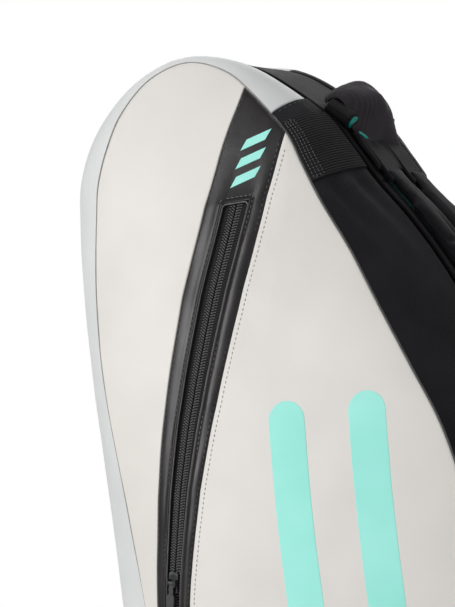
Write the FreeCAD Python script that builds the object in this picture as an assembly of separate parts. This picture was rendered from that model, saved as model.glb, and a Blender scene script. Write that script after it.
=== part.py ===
import FreeCAD, Part
import bisect
import math
import os

# A tall racket bag that stands on its base with the head end up. Lengths are in millimetres.
# +Z runs from the base to the head end, +X faces the carry handles and shoulder straps,
# -X is the underside where both side shells hinge, and -Y is the front shell's side.
# The bag is mirrored about Y = 0, except that only the front shell has a zipped pocket.

V = FreeCAD.Vector
GAP = 0.4                     # free space between neighbouring pieces
LIFT = 4.6                    # the shells hang this far above the resting face

# The outline of the bag, seen along Y
UNDERSIDE_X = -132.0
HEAD_CENTRE = (-23.0, 663.0)
HEAD_RADIUS = 106.0
MIDDLE_Z = 385.0
UPPER_ARC_X = -244.0          # centre of the handle side's upper arc, at MIDDLE_Z
UPPER_ARC_R = 450.0
LOWER_ARC_R = 760.0
LOWER_ARC_X = UPPER_ARC_X + UPPER_ARC_R - LOWER_ARC_R
BASE_HALF = 98.0

# The bag's depth along Y
ZIP_PLANE = 52.0              # free edge of a side shell
TAPE_EDGE = 41.5              # edge of the middle gusset
ZIP_LINE = 46.5               # where the two halves of a main zip meet
END_DEPTH = 26.0              # shell depth at the head end and at the base
MIDDLE_DEPTH = 80.0
CROWN = 15.0                  # how far a side panel pillows out
RIM_BULGE = 4.0
BULGE_FROM_Z = 90.0           # below this height the bulge fades out, so the bag stands flat

# Cloth thicknesses
BAND_THICK = 3.4
PANEL_THICK = 1.4
FOAM_THICK = 5.0
FOAM_DEPTH = 9.6              # the foam lies this far behind the outer cloth
POUCH_DEPTH = 5.0             # and the zipped pocket's inner cloth this far
GUSSET_THICK = 3.0
TAPE_THICK = 0.9
TAPE_DEPTH = 4.5              # the main zip's tape lies this far inside the outline
HINGE_EDGE = 49.6             # edge of a hinge strip, clear of the side shell
SEAM_FREE = 2.6               # free space between a wall band's top edge and the panel seam
RAISED_LOW = 0.9              # sewn-on webbing starts this far outside the cloth beneath it
RAISED_HIGH = 2.6

# Pocket strip: height, centre and half width of the strip that crosses the side panel
STRIP = [
    (14.0, -62.0, 13.0),
    (110.0, -61.5, 13.0),
    (200.0, -59.0, 13.0),
    (290.0, -54.0, 13.4),
    (376.0, -45.5, 14.9),
    (454.0, -29.6, 18.6),
    (515.0, -13.3, 21.8),
    (592.0, 9.2, 25.0),
    (656.0, 29.6, 24.8),
    (700.0, 44.0, 24.4),
    (745.0, 60.0, 24.0),
]
STRIP_TOP_LEFT_Z = 737.0
STRIP_TOP_RIGHT_Z = 695.0
STRIP_BOTTOM_Z = 17.0
WINDOW_LOW_Z = 370.0
WINDOW_HIGH_Z = 650.0
WINDOW_SHARE = 0.36           # the zip window's share of the strip's width
POCKET_SLIDER_Z = 392.0
POCKET_OPEN_Z = 630.0

# Zip sliders
SLIDER_LONG = 15.0
SLIDER_WIDE = 7.6
SLIDER_HIGH = 3.2
BAR_RADIUS = 0.9
PULL_LONG = 30.0
PULL_WIDE = 6.0
PULL_THICK = 2.0
MAIN_SLIDER_OFFSET = 17.0     # each closed main slider sits this far from MIDDLE_Z

# Carry handles
HANDLE_LOW_Z = 290.0
HANDLE_HIGH_Z = 480.0
HANDLE_RISE = 74.0
HANDLE_WIDE = 25.0
HANDLE_THICK = 3.0
HANDLE_Y = 66.0
HANDLE_LEAN = 6.0             # degrees towards the middle
GRIP_LONG = 96.0
GRIP_WALL = 4.5

# Grab handle and shoulder straps
GRAB_FROM = (52.0, 738.0)
GRAB_TO = (100.0, 683.0)
GRAB_RISE = 22.0
GRAB_WIDE = 46.0
GRAB_THICK = 8.0
STRAP_WIDE = 36.0
STRAP_Y = 20.5
STRAP_TOP_Z = 664.0
STRAP_LOW_Z = 190.0
STRAP_THICK = 11.0
LINING_THICK = 2.0
WEB_WIDE = 24.0
WEB_THICK = 1.6
WEB_LOW_Z = 84.0
RING_WIRE = 2.0
LOCK_LONG = 24.0


def spline(points, t, closed=False):
    """Smooth curve through the points: t counts the points."""
    count = len(points)
    first = math.floor(t)
    if not closed:
        first = min(max(first, 0), count - 2)
    f = t - first
    near = []
    for k in (-1, 0, 1, 2):
        index = (first + k) % count if closed else min(max(first + k, 0), count - 1)
        near.append(points[index])
    weights = (
        f * (-0.5 + f * (1 - 0.5 * f)),
        1 + f * f * (-2.5 + 1.5 * f),
        f * (0.5 + f * (2 - 1.5 * f)),
        f * f * (-0.5 + 0.5 * f),
    )
    return [sum(w * p[i] for w, p in zip(weights, near)) for i in range(len(points[0]))]


def arc_x(z):
    """The handle side's X at a height, between the base corner and the head corner."""
    radius, centre = (UPPER_ARC_R, UPPER_ARC_X) if z > MIDDLE_Z else (LOWER_ARC_R, LOWER_ARC_X)
    return centre + math.sqrt(radius**2 - (z - MIDDLE_Z) ** 2)


def stations():
    """The outline's stations: X, Z and the width of the rim from the outline to the panel seam."""
    found = [(-BASE_HALF, 0.0, 14.0), (-118.0, 7.0, 22.0), (-129.0, 26.0, 30.0)]
    underside = [(60, 40), (110, 48), (180, 54), (270, 59), (360, 60), (450, 53), (540, 43), (605, 41)]
    found += [(UNDERSIDE_X, float(z), float(inset)) for z, inset in underside]
    head = [(179, 41), (160, 39), (140, 33), (121, 22), (102, 10), (84, 4), (65, 7), (47, 12)]
    for degrees, inset in head:
        turn = math.radians(degrees)
        x = HEAD_CENTRE[0] + HEAD_RADIUS * math.cos(turn)
        found.append((x, HEAD_CENTRE[1] + HEAD_RADIUS * math.sin(turn), float(inset)))
    found += [(80.0, 712.0, 18.0), (97.0, 686.0, 20.0)]
    handle = [(660, 22), (625, 27), (585, 31), (535, 30), (485, 26), (435, 24), (385, 24)]
    handle += [(325, 24), (265, 24), (205, 26), (150, 27), (100, 27)]
    found += [(arc_x(z), float(z), float(inset)) for z, inset in handle]
    found += [(133.0, 52.0, 25.0), (120.0, 16.0, 20.0), (BASE_HALF, 0.0, 14.0), (72.0, 0.0, 12.0)]
    found += [(24.0, 0.0, 12.0), (-24.0, 0.0, 12.0), (-72.0, 0.0, 12.0)]
    return [(x, z + LIFT * (z < 60), inset) for x, z, inset in found]


def seam_points(ring):
    """One seam point inside each station, along the outline's inward normal."""
    points = []
    for i, (x, z, inset) in enumerate(ring):
        ahead = ring[(i + 1) % len(ring)]
        behind = ring[i - 1]
        along = V(ahead[0] - behind[0], 0, ahead[1] - behind[1]).normalize()
        points.append((x, z, x + along.z * inset, z - along.x * inset))
    return points


RING = seam_points(stations())
STEPS = 12


def measure_ring():
    """Distance along the outline at each small step round it."""
    lengths = [0.0]
    last = spline(RING, 0, True)
    for i in range(1, len(RING) * STEPS + 1):
        here = spline(RING, i / STEPS, True)
        lengths.append(lengths[-1] + math.hypot(here[0] - last[0], here[1] - last[1]))
        last = here
    return lengths


LENGTHS = measure_ring()
PERIMETER = LENGTHS[-1]


def ring_at(s):
    """X, Z of the outline and of the seam at a distance s round the bag."""
    s = s % PERIMETER
    i = min(bisect.bisect_right(LENGTHS, s), len(LENGTHS) - 1)
    share = (s - LENGTHS[i - 1]) / (LENGTHS[i] - LENGTHS[i - 1])
    return spline(RING, (i - 1 + share) / STEPS, True)


def ring_near(x, z):
    """Distance round the bag of the outline point nearest to X, Z."""
    def far(i):
        p = spline(RING, i / STEPS, True)
        return math.hypot(p[0] - x, p[1] - z)
    return LENGTHS[min(range(len(RING) * STEPS), key=far)]


def handle_side(z):
    """Distance round the bag of the handle side's point at a height."""
    return ring_near(arc_x(z), z)


def outward(s):
    """The outline's outward normal at a distance s."""
    ahead = ring_at(s + 1.5)
    behind = ring_at(s - 1.5)
    along = V(ahead[0] - behind[0], 0, ahead[1] - behind[1]).normalize()
    return V(-along.z, 0, along.x)


def depth_at(z):
    """How far the panel seam stands in front of the zip plane, at a height."""
    share = min(max(z / (HEAD_CENTRE[1] + HEAD_RADIUS), 0.0), 1.0)
    return END_DEPTH + (MIDDLE_DEPTH - END_DEPTH) * math.sin(math.pi * share) ** 0.8


def wall_width(s):
    """Width of the side wall from the zip edge to the panel seam, at a distance s."""
    x, z, seam_x, seam_z = ring_at(s)
    return math.hypot(seam_x - x, seam_z - z, depth_at(seam_z))


def on_wall(s, w, inward):
    """Point of the front shell's side wall: w runs from the zip edge (0) to the panel seam (1)."""
    x, z, seam_x, seam_z = ring_at(s)
    normal = outward(s)
    inset = math.hypot(seam_x - x, seam_z - z)
    depth = depth_at(seam_z)
    slant = math.hypot(inset, depth)
    face = V(normal.x * depth, -inset, normal.z * depth) / slant
    point = V(x + (seam_x - x) * w, -ZIP_PLANE - depth * w, z + (seam_z - z) * w)
    bulge = RIM_BULGE * min(seam_z / BULGE_FROM_Z, 1.0)
    return point + face * (bulge * 4 * w * (1 - w) - inward)


def on_gusset(s, y, inward):
    """Point of the middle gusset, a belt of cloth round the outline."""
    x, z = ring_at(s)[:2]
    return V(x, y, z) - outward(s) * inward


PANEL_CENTRE = (25.0, 385.0)


def seam_radii():
    """Angle and distance of the seam from the panel's centre, in order of angle."""
    found = []
    for i in range(len(RING) * STEPS):
        x, z = spline(RING, i / STEPS, True)[2:]
        dx = x - PANEL_CENTRE[0]
        dz = z - PANEL_CENTRE[1]
        found.append((math.atan2(dz, dx), math.hypot(dx, dz)))
    return sorted(found)


SEAM_RADII = seam_radii()


def crown_at(x, z):
    """How far the pillowed panel stands proud of its seam."""
    dx = x - PANEL_CENTRE[0]
    dz = z - PANEL_CENTRE[1]
    i = bisect.bisect(SEAM_RADII, (math.atan2(dz, dx), 0.0))
    low = SEAM_RADII[i - 1]
    high = SEAM_RADII[i % len(SEAM_RADII)]
    span = (high[0] - low[0]) % (2 * math.pi)
    share = ((math.atan2(dz, dx) - low[0]) % (2 * math.pi)) / span
    radius = low[1] + (high[1] - low[1]) * share
    reach = min(math.hypot(dx, dz) / radius, 1.0)
    return CROWN * (1 - reach**2) ** 0.8


def on_panel(x, z, inward):
    """Point of the front shell's side panel."""
    return V(x, -ZIP_PLANE - depth_at(z) - crown_at(x, z) + inward, z)


def strip_at(z):
    """Centre and half width of the pocket strip at a height."""
    low = 0
    while low < len(STRIP) - 2 and z > STRIP[low + 1][0]:
        low += 1
    share = (z - STRIP[low][0]) / (STRIP[low + 1][0] - STRIP[low][0])
    return spline([p[1:] for p in STRIP], low + share)


def surface(point, across, along):
    """Smooth face through a grid of points on the unit square."""
    patch = Part.BSplineSurface()
    rows = range(across + 1)
    patch.interpolate([[point(i / across, j / along) for j in range(along + 1)] for i in rows])
    return patch


def sheet(outer, inner, across, along):
    """Closed solid between two smooth faces that share one unit square."""
    top = surface(outer, across, along)
    bottom = surface(inner, across, along)
    limits = zip(top.bounds(), bottom.bounds())
    edges = [(top.uIso, bottom.uIso)] * 2 + [(top.vIso, bottom.vIso)] * 2
    faces = [top.toShape(), bottom.toShape()]
    for (top_iso, bottom_iso), (top_at, bottom_at) in zip(edges, limits):
        wires = [Part.Wire(top_iso(top_at).toShape()), Part.Wire(bottom_iso(bottom_at).toShape())]
        faces += Part.makeLoft(wires, False, True).Faces
    shell = Part.Shell(faces)
    shell.sewShape()
    solid = Part.Solid(shell)
    if solid.Volume < 0:
        solid.reverse()
    return solid


def wall_sheet(start, end, low_free, high_free, outer, inner):
    """A piece of the side wall from s = start to end, with free space at the zip and at the seam."""
    steps = max(int((end - start) / 16), 4)

    def layer(inward):
        def point(a, b):
            s = start + (end - start) * b
            low = low_free / wall_width(s)
            high = 1 - high_free / wall_width(s)
            return on_wall(s, low + (high - low) * a, inward)
        return point
    return sheet(layer(outer), layer(inner), 5, steps)


def belt(start, end, y_low, y_high, outer, inner, step=16):
    """A piece of a belt round the outline; a negative inward distance stands proud."""
    steps = max(int((end - start) / step), 4)

    def layer(inward):
        return lambda a, b: on_gusset(start + (end - start) * b, y_low + (y_high - y_low) * a, inward)
    return sheet(layer(outer), layer(inner), 3, steps)


def panel_sheet(left, right, outer, inner, across, along):
    """A piece of the side panel between two edges, each a function of the share b of its length."""
    def layer(inward):
        def point(a, b):
            p = left(b)
            q = right(b)
            return on_panel(p[0] + (q[0] - p[0]) * a, p[1] + (q[1] - p[1]) * a, inward)
        return point
    return sheet(layer(outer), layer(inner), across, along)


def seam_edge(start, end, inset):
    """Edge that follows the seam from s = start to end, a little inside it."""
    def edge(b):
        s = start + (end - start) * b
        normal = outward(s)
        x, z = ring_at(s)[2:]
        return x - normal.x * inset, z - normal.z * inset
    return edge


def strip_edge(side, top_z, bottom_z, outset, share=1.0):
    """Edge along the pocket strip; outset moves it away from the strip's centre line."""
    def edge(b):
        z = bottom_z + (top_z - bottom_z) * b
        centre, half = strip_at(z)
        return centre + side * (half * share + outset), z
    return edge


def rear(shape):
    """The same piece on the rear shell."""
    return shape.mirror(V(0, 0, 0), V(0, 1, 0))


def local(shape, origin, along, out):
    """Move a shape drawn with +X along and +Z outward to its own place on the bag."""
    side = out.cross(along).normalize()
    matrix = FreeCAD.Matrix(
        along.x, side.x, out.x, origin.x,
        along.y, side.y, out.y, origin.y,
        along.z, side.z, out.z, origin.z,
        0, 0, 0, 1,
    )
    moved = shape.copy()
    moved.Placement = FreeCAD.Placement(matrix)
    return moved


def ribbon(path, half, low, high, steps):
    """A strap that follows path(b) -> (point, outward normal), half(b) wide each way along Y."""
    def layer(height):
        def point(a, b):
            centre, normal, side = path(b)
            return centre + normal * height + side * (half(b) * (2 * a - 1))
        return point
    return sheet(layer(high), layer(low), 3, steps)


def arch(start, end, profile, lean):
    """Path over a chord from start to end; profile holds (share of the chord, height) points."""
    chord = end - start
    level = V(chord).normalize()
    side = V(0, 1, 0)
    up = level.cross(side) * -1 if level.cross(side).x < 0 else level.cross(side)
    turn = math.radians(lean)
    raised = up * math.cos(turn) + side * math.sin(turn)
    across = side * math.cos(turn) - up * math.sin(turn)

    def place(b):
        share, height = spline(profile, b * (len(profile) - 1))
        return start + chord * share + raised * height

    def path(b):
        along = (place(min(b + 0.004, 1.0)) - place(max(b - 0.004, 0.0))).normalize()
        normal = along.cross(across)
        if normal.dot(raised) + 0.2 * normal.dot(level) * (0.5 - b) < 0:
            normal = normal * -1
        return place(b), normal, across
    return path


def cylinder(radius, length, centre, axis):
    """Cylinder centred on a point."""
    return Part.makeCylinder(radius, length, centre - axis * (length / 2), axis)


# ---------------------------------------------------------------- places round the bag
S_BASE_LEFT = ring_near(-BASE_HALF, LIFT)
S_UNDERSIDE_LOW = ring_near(UNDERSIDE_X, 60.0)
S_UNDERSIDE_HIGH = ring_near(UNDERSIDE_X, 605.0)
S_ZIP_START = ring_near(-100.0, 737.0)
S_HEM = ring_near(46.0, 742.0)
S_PATCH_LOW = ring_near(66.0, 727.0)
S_PATCH_HIGH = ring_near(101.0, 679.0)
S_SHOULDER = handle_side(660.0)
S_ZIP_END = ring_near(-90.0, LIFT)
S_CORNER = handle_side(66.0)


def shell_pieces():
    """Cloth, foam and half zip of the front shell."""
    pieces = {}
    base_s = ring_near(-46.0, LIFT) - PERIMETER
    left_seam = seam_edge(base_s + 14, ring_near(42.0, 746.0) - 8, 1.0)
    left_strip = strip_edge(-1, STRIP_TOP_LEFT_Z - 8, STRIP_BOTTOM_Z, GAP)
    pieces["left_panel"] = panel_sheet(left_seam, left_strip, 0, PANEL_THICK, 8, 44)
    right_seam = seam_edge(base_s - 4, ring_near(82.0, 709.0) - PERIMETER + 6, 1.0)
    right_strip = strip_edge(1, STRIP_TOP_RIGHT_Z - 6, STRIP_BOTTOM_Z, GAP)
    pieces["right_panel"] = panel_sheet(right_strip, right_seam, 0, PANEL_THICK, 8, 44)
    strip_left = strip_edge(-1, STRIP_TOP_LEFT_Z, STRIP_BOTTOM_Z, -GAP)
    strip_right = strip_edge(1, STRIP_TOP_RIGHT_Z, STRIP_BOTTOM_Z, -GAP)
    pieces["cross_strip"] = panel_sheet(strip_left, strip_right, 0, PANEL_THICK, 4, 40)
    ring_end = PERIMETER + S_BASE_LEFT
    pieces["rim_band"] = wall_sheet(S_BASE_LEFT + GAP, S_HEM - GAP, GAP, SEAM_FREE, 0, BAND_THICK)
    pieces["handle_band"] = wall_sheet(S_HEM + GAP, ring_end - GAP, GAP, SEAM_FREE, 0, BAND_THICK)
    pieces["webbing_patch"] = wall_sheet(S_PATCH_LOW, S_PATCH_HIGH, 3.0, 4.0, -RAISED_HIGH, -RAISED_LOW)
    foam_left = seam_edge(base_s + 30, ring_near(42.0, 746.0) + 4, 11.0)
    foam_right = seam_edge(base_s - 30, ring_near(82.0, 709.0) - PERIMETER - 34, 11.0)
    pieces["foam_panel"] = panel_sheet(foam_left, foam_right, FOAM_DEPTH, FOAM_DEPTH + FOAM_THICK, 10, 44)
    edge = ZIP_PLANE - GAP
    tape_inner = TAPE_DEPTH + TAPE_THICK
    pieces["zip_tape"] = belt(S_ZIP_START, S_ZIP_END, -edge, -ZIP_LINE - 0.2, TAPE_DEPTH, tape_inner)
    pieces["zip_coil"] = belt(S_ZIP_START, S_ZIP_END, -ZIP_LINE - 2.4, -ZIP_LINE - 0.2, 1.0, 2.9)
    return pieces


def pocket_window(outer, inner, share):
    """Block that follows the pocket zip's line, as wide as a share of the strip."""
    left = strip_edge(-1, WINDOW_HIGH_Z, WINDOW_LOW_Z, 0, share)
    right = strip_edge(1, WINDOW_HIGH_Z, WINDOW_LOW_Z, 0, share)
    return panel_sheet(left, right, outer, inner, 4, 24)


def pocket_coil(side):
    """One half of the pocket zip's coil."""
    near = strip_edge(side, WINDOW_HIGH_Z - 4, WINDOW_LOW_Z + 4, 0.3, 0.0)
    far = strip_edge(side, WINDOW_HIGH_Z - 4, WINDOW_LOW_Z + 4, 2.9, 0.0)
    left, right = (near, far) if side > 0 else (far, near)
    return panel_sheet(left, right, 0.6, 1.9, 3, 24)


def pocket_pieces():
    """What the front shell's zipped pocket adds."""
    pouch_left = strip_edge(-1, 636.0, 170.0, -1.0)
    pouch_right = strip_edge(1, 560.0, 170.0, 66.0)
    return {
        "pocket_zip_tape": pocket_window(2.1, 2.1 + TAPE_THICK, 0.62),
        "pocket_zip_coil": Part.makeCompound([pocket_coil(-1), pocket_coil(1)]),
        "pocket_pouch": panel_sheet(pouch_left, pouch_right, POUCH_DEPTH, POUCH_DEPTH + PANEL_THICK, 8, 32),
    }


def slider():
    """Zip slider drawn flat: travels along X, opens outward along +Z."""
    half = SLIDER_LONG / 2
    plate = Part.makeBox(SLIDER_LONG, SLIDER_WIDE, 1.4, V(-half, -SLIDER_WIDE / 2, 0))
    corners = [e for e in plate.Edges if abs(e.Vertexes[0].Z - e.Vertexes[-1].Z) > 1]
    plate = plate.makeFillet(2.4, corners)
    solid = plate
    for side in (-1, 1):
        cheek = Part.makeBox(5.0, 1.0, 3.4, V(-2.5, side * 3.0 - 0.5, 1.2))
        solid = solid.fuse(cheek)
    pin = cylinder(BAR_RADIUS, 6.0, V(0, 0, SLIDER_HIGH), V(0, 1, 0))
    return solid.fuse(pin).removeSplitter()


def pull():
    """Pull tab drawn flat along +X, its eye round the slider's pin."""
    eye = cylinder(1.7, 4.4, V(0, 0, SLIDER_HIGH), V(0, 1, 0))
    neck = Part.makeBox(8.0, 3.6, PULL_THICK * 0.6, V(1.0, -1.8, SLIDER_HIGH - PULL_THICK * 0.3))
    tab = Part.makeBox(PULL_LONG - 8.0, PULL_WIDE, PULL_THICK, V(8.0, -PULL_WIDE / 2, SLIDER_HIGH - 1.0))
    corners = [e for e in tab.Edges if abs(e.Vertexes[0].Z - e.Vertexes[-1].Z) > 1]
    tab = tab.makeFillet(1.8, corners)
    hole = cylinder(BAR_RADIUS + 0.08, 6.0, V(0, 0, SLIDER_HIGH), V(0, 1, 0))
    return eye.fuse([neck, tab]).cut(hole).removeSplitter()


def main_slider_frame(upper):
    """Origin, direction of the hanging pull and outward direction of a main zip slider."""
    offset = MAIN_SLIDER_OFFSET if upper else -MAIN_SLIDER_OFFSET
    s = handle_side(MIDDLE_Z) - offset
    out = outward(s)
    return on_gusset(s, -ZIP_LINE, 0.5), V(out.z, 0, -out.x), out


def pocket_line(z):
    """The pocket zip's middle line, where the slider's underside runs."""
    return on_panel(strip_at(z)[0], z, -0.6)


def pocket_arc():
    """Centre and axis of the circle that the pocket slider follows."""
    low = pocket_line(POCKET_SLIDER_Z)
    middle = pocket_line((POCKET_SLIDER_Z + POCKET_OPEN_Z) / 2)
    high = pocket_line(POCKET_OPEN_Z)
    circle = Part.Circle(low, middle, high)
    return circle.Center, (low - circle.Center).cross(high - circle.Center).normalize()


def pocket_slider_frame():
    """Origin, direction of the hanging pull and outward direction of the pocket slider."""
    centre, axis = pocket_arc()
    origin = pocket_line(POCKET_SLIDER_Z)
    along = axis.cross(origin - centre).normalize() * -1
    across = (pocket_line_side(1) - pocket_line_side(-1)).normalize()
    out = across.cross(along).normalize()
    if out.y > 0:
        out = out * -1
    return origin, along, out


def pocket_line_side(side):
    """Point of the strip beside the closed pocket slider."""
    centre = strip_at(POCKET_SLIDER_Z)[0]
    return on_panel(centre + side * 4.0, POCKET_SLIDER_Z, 0)


def carry_handle():
    """Front carry handle: its strap, its chord's ends and its grip wrap."""
    ends = [V(arc_x(z) + 1.0, -HANDLE_Y, z) for z in (HANDLE_LOW_Z, HANDLE_HIGH_Z)]
    foot = 5.0
    profile = [(0.0, foot), (0.05, 0.42 * HANDLE_RISE), (0.16, 0.84 * HANDLE_RISE)]
    profile += [(0.32, HANDLE_RISE), (0.5, HANDLE_RISE * 1.02), (0.68, HANDLE_RISE)]
    profile += [(0.84, 0.84 * HANDLE_RISE), (0.95, 0.42 * HANDLE_RISE), (1.0, foot)]
    path = arch(ends[0], ends[1], profile, HANDLE_LEAN)

    def half(b):
        taper = min(min(b, 1 - b) / 0.14, 1.0)
        return 4.0 + (HANDLE_WIDE / 2 - 4.0) * math.sin(math.pi / 2 * taper)

    strap = ribbon(path, half, 0, HANDLE_THICK, 30)
    low = 0.5 - GRIP_LONG / (HANDLE_HIGH_Z - HANDLE_LOW_Z) * 0.32
    wide = HANDLE_WIDE / 2 + 0.4

    def middle(b):
        return path(low + (1 - 2 * low) * b)

    grip = ribbon(middle, lambda b: wide + GRIP_WALL, -GAP - GRIP_WALL, HANDLE_THICK + GAP + GRIP_WALL, 8)
    hole = ribbon(path, lambda b: wide, -GAP, HANDLE_THICK + GAP, 30)
    return strap, grip.cut(hole)


def grab_handle():
    """Padded grab handle over the head end's corner."""
    out = outward(ring_near(82.0, 710.0))
    start, end = [V(x, 0, z) for x, z in (GRAB_FROM, GRAB_TO)]
    profile = [(0.0, 4.0), (0.08, 0.6 * GRAB_RISE), (0.3, 0.95 * GRAB_RISE), (0.55, GRAB_RISE)]
    profile += [(0.82, 0.8 * GRAB_RISE), (0.95, 0.5 * GRAB_RISE), (1.0, 4.0)]
    path = arch(start + out * 1.0, end + out * 1.0, profile, 0.0)

    def half(b):
        taper = min(min(b, 1 - b) / 0.2, 1.0)
        return 10.0 + (GRAB_WIDE / 2 - 10.0) * math.sin(math.pi / 2 * taper)

    return ribbon(path, half, 0, GRAB_THICK, 24)


def strap_pieces():
    """Front shoulder strap: pad, lining, lower webbing, adjuster and hook."""
    top = handle_side(STRAP_TOP_Z)
    low = handle_side(STRAP_LOW_Z)
    y_low = -STRAP_Y - STRAP_WIDE / 2
    y_high = -STRAP_Y + STRAP_WIDE / 2
    web_low = handle_side(WEB_LOW_Z + 10)
    web_side = (-STRAP_Y - WEB_WIDE / 2, -STRAP_Y + WEB_WIDE / 2)
    web_height = 3.0
    pad_height = 0.8 + LINING_THICK + GAP
    lock_s = low + 30
    out = outward(lock_s)
    frame = Part.makeBox(LOCK_LONG, WEB_WIDE + 8, 7.0, V(-LOCK_LONG / 2, -WEB_WIDE / 2 - 4, 0.8))
    channel_high = web_height + WEB_THICK + 0.7
    channel = Part.makeBox(
        LOCK_LONG + 2, WEB_WIDE + 1.2, channel_high - web_height + 0.7,
        V(-LOCK_LONG / 2 - 1, -WEB_WIDE / 2 - 0.6, web_height - 0.7),
    )
    frame = frame.cut(channel)
    for x in (-9.0, 3.0):
        frame = frame.cut(Part.makeBox(6.0, WEB_WIDE, 4.0, V(x, -WEB_WIDE / 2, channel_high - 1)))
    lock = local(frame, on_gusset(lock_s, -STRAP_Y, 0), V(out.z, 0, -out.x), out)
    hook_s = web_low + 9
    out = outward(hook_s)
    hook = Part.makeBox(15.0, 10.0, 9.0, V(-6.0, -5.0, 0.8))
    hook = hook.cut(Part.makeBox(5.6, 12.0, 6.6, V(0.0, -6.0, 0.0)))
    hook = local(hook, on_gusset(hook_s, -STRAP_Y, 0), V(out.z, 0, -out.x), out)
    return {
        "shoulder_pad": belt(top, low, y_low, y_high, -pad_height - STRAP_THICK, -pad_height),
        "pad_lining": belt(top + 3, low - 3, y_low + 1, y_high - 1, -0.8 - LINING_THICK, -0.8),
        "strap_webbing": belt(low + 4, web_low, web_side[0], web_side[1],
                              -web_height - WEB_THICK, -web_height),
        "strap_adjuster": lock,
        "strap_hook": hook,
    }


def strap_ring():
    """Square ring at the foot of a strap, and the webbing tab that holds it."""
    s = handle_side(WEB_LOW_Z + 10) + 9
    out = outward(s)
    along = V(out.z, 0, -out.x)
    wide = WEB_WIDE / 2 + 1.0
    far = 2.8
    near = 20.0
    level = 4.4
    corners = [V(far, -wide, level), V(far, wide, level), V(near, wide, level), V(near, -wide, level)]
    bars = [Part.makeSphere(RING_WIRE, c) for c in corners]
    for a, b in zip(corners, corners[1:] + corners[:1]):
        bars.append(Part.makeCylinder(RING_WIRE, (b - a).Length, a, (b - a).normalize()))
    ring = bars[0].fuse(bars[1:]).removeSplitter()
    sleeve = cylinder(RING_WIRE + 1.7, WEB_WIDE - 4, V(near, 0, level), V(0, 1, 0))
    tail = Part.makeBox(24.0, WEB_WIDE - 4, 2.4, V(near, -WEB_WIDE / 2 + 2, 1.9))
    bore = cylinder(RING_WIRE + 0.1, WEB_WIDE, V(near, 0, level), V(0, 1, 0))
    tab = sleeve.fuse(tail).cut(bore).removeSplitter()
    origin = on_gusset(s, -STRAP_Y, 0)
    return local(ring, origin, along, out), local(tab, origin, along, out)


def flat_piece(inset, y_low, y_high):
    """Flat board that follows the outline, inset from it."""
    count = 44
    points = [on_gusset(PERIMETER * i / count, y_low, inset) for i in range(count)]
    curve = Part.BSplineCurve()
    curve.interpolate(Points=points, PeriodicFlag=True)
    face = Part.Face(Part.Wire(curve.toShape()))
    return face.extrude(V(0, y_high - y_low, 0))


def rounded_board(x_low, x_high, y_low, y_high, z_low, z_high, radius, axis):
    """Box with the four edges along one axis rounded."""
    board = Part.makeBox(x_high - x_low, y_high - y_low, z_high - z_low, V(x_low, y_low, z_low))
    edges = [e for e in board.Edges if abs(e.tangentAt(0).dot(axis)) > 0.9]
    return board.makeFillet(radius, edges)


def core_pieces():
    """The middle of the bag, that everything else is fastened to."""
    edge = TAPE_EDGE
    wrap = PERIMETER + S_UNDERSIDE_LOW
    tape_inner = TAPE_DEPTH + TAPE_THICK
    core_tape = belt(S_ZIP_START, S_ZIP_END, -ZIP_LINE + 0.2, -edge - GAP, TAPE_DEPTH, tape_inner)
    core_coil = belt(S_ZIP_START, S_ZIP_END, -ZIP_LINE + 0.2, -ZIP_LINE + 2.4, 1.0, 2.9)
    hinge = belt(2.0, S_ZIP_START - 2, -HINGE_EDGE, -edge - GAP, 0.4, 2.0, 14)
    ring, tab = strap_ring()
    anchor_low = handle_side(STRAP_TOP_Z + 3)
    anchor_side = (-STRAP_Y - WEB_WIDE / 2, -STRAP_Y + WEB_WIDE / 2)
    anchor = belt(anchor_low - 36, anchor_low, *anchor_side, -RAISED_HIGH, -RAISED_LOW, 6)
    return {
        "underside_gusset": belt(S_UNDERSIDE_LOW + GAP, S_UNDERSIDE_HIGH - GAP, -edge, edge, 0, GUSSET_THICK),
        "head_end_gusset": belt(S_UNDERSIDE_HIGH, S_SHOULDER - GAP, -edge, edge, 0, GUSSET_THICK),
        "handle_side_gusset": belt(S_SHOULDER, S_CORNER - GAP, -edge, edge, 0, GUSSET_THICK),
        "base_gusset": belt(S_CORNER, wrap, -edge, edge, 0, GUSSET_THICK, 12),
        "base_panel": rounded_board(-BASE_HALF, BASE_HALF, -edge, edge, 0, 1.6, 12, V(0, 0, 1)),
        "base_stiffener": rounded_board(-72, 72, -38, 38, 9.4, 11.9, 10, V(0, 0, 1)),
        "centre_divider": flat_piece(12.0, -2.5, 2.5),
        "mesh_pocket": rounded_board(-80, 120, -4.2, -3.0, 180, 430, 18, V(0, 1, 0)),
        "main_zip_tapes": Part.makeCompound([core_tape, rear(core_tape)]),
        "main_zip_coils": Part.makeCompound([core_coil, rear(core_coil)]),
        "front_hinge_strip": hinge,
        "rear_hinge_strip": rear(hinge),
        "strap_rings": Part.makeCompound([ring, rear(ring)]),
        "ring_tabs": Part.makeCompound([tab, rear(tab)]),
        "strap_anchors": Part.makeCompound([anchor, rear(anchor)]),
        "grab_handle": grab_handle(),
    }


def slider_pieces():
    """The main zips' sliders and pulls, and the pocket's."""
    pieces = {}
    for name, upper in (("upper", True), ("lower", False)):
        frame = main_slider_frame(upper)
        for part, shape in (("slider", slider()), ("pull", pull())):
            placed = local(shape, *frame)
            pieces[f"front_{name}_{part}"] = placed
            pieces[f"rear_{name}_{part}"] = rear(placed)
    frame = pocket_slider_frame()
    pieces["pocket_slider"] = local(slider(), *frame)
    pieces["pocket_pull"] = local(pull(), *frame)
    return pieces


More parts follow.
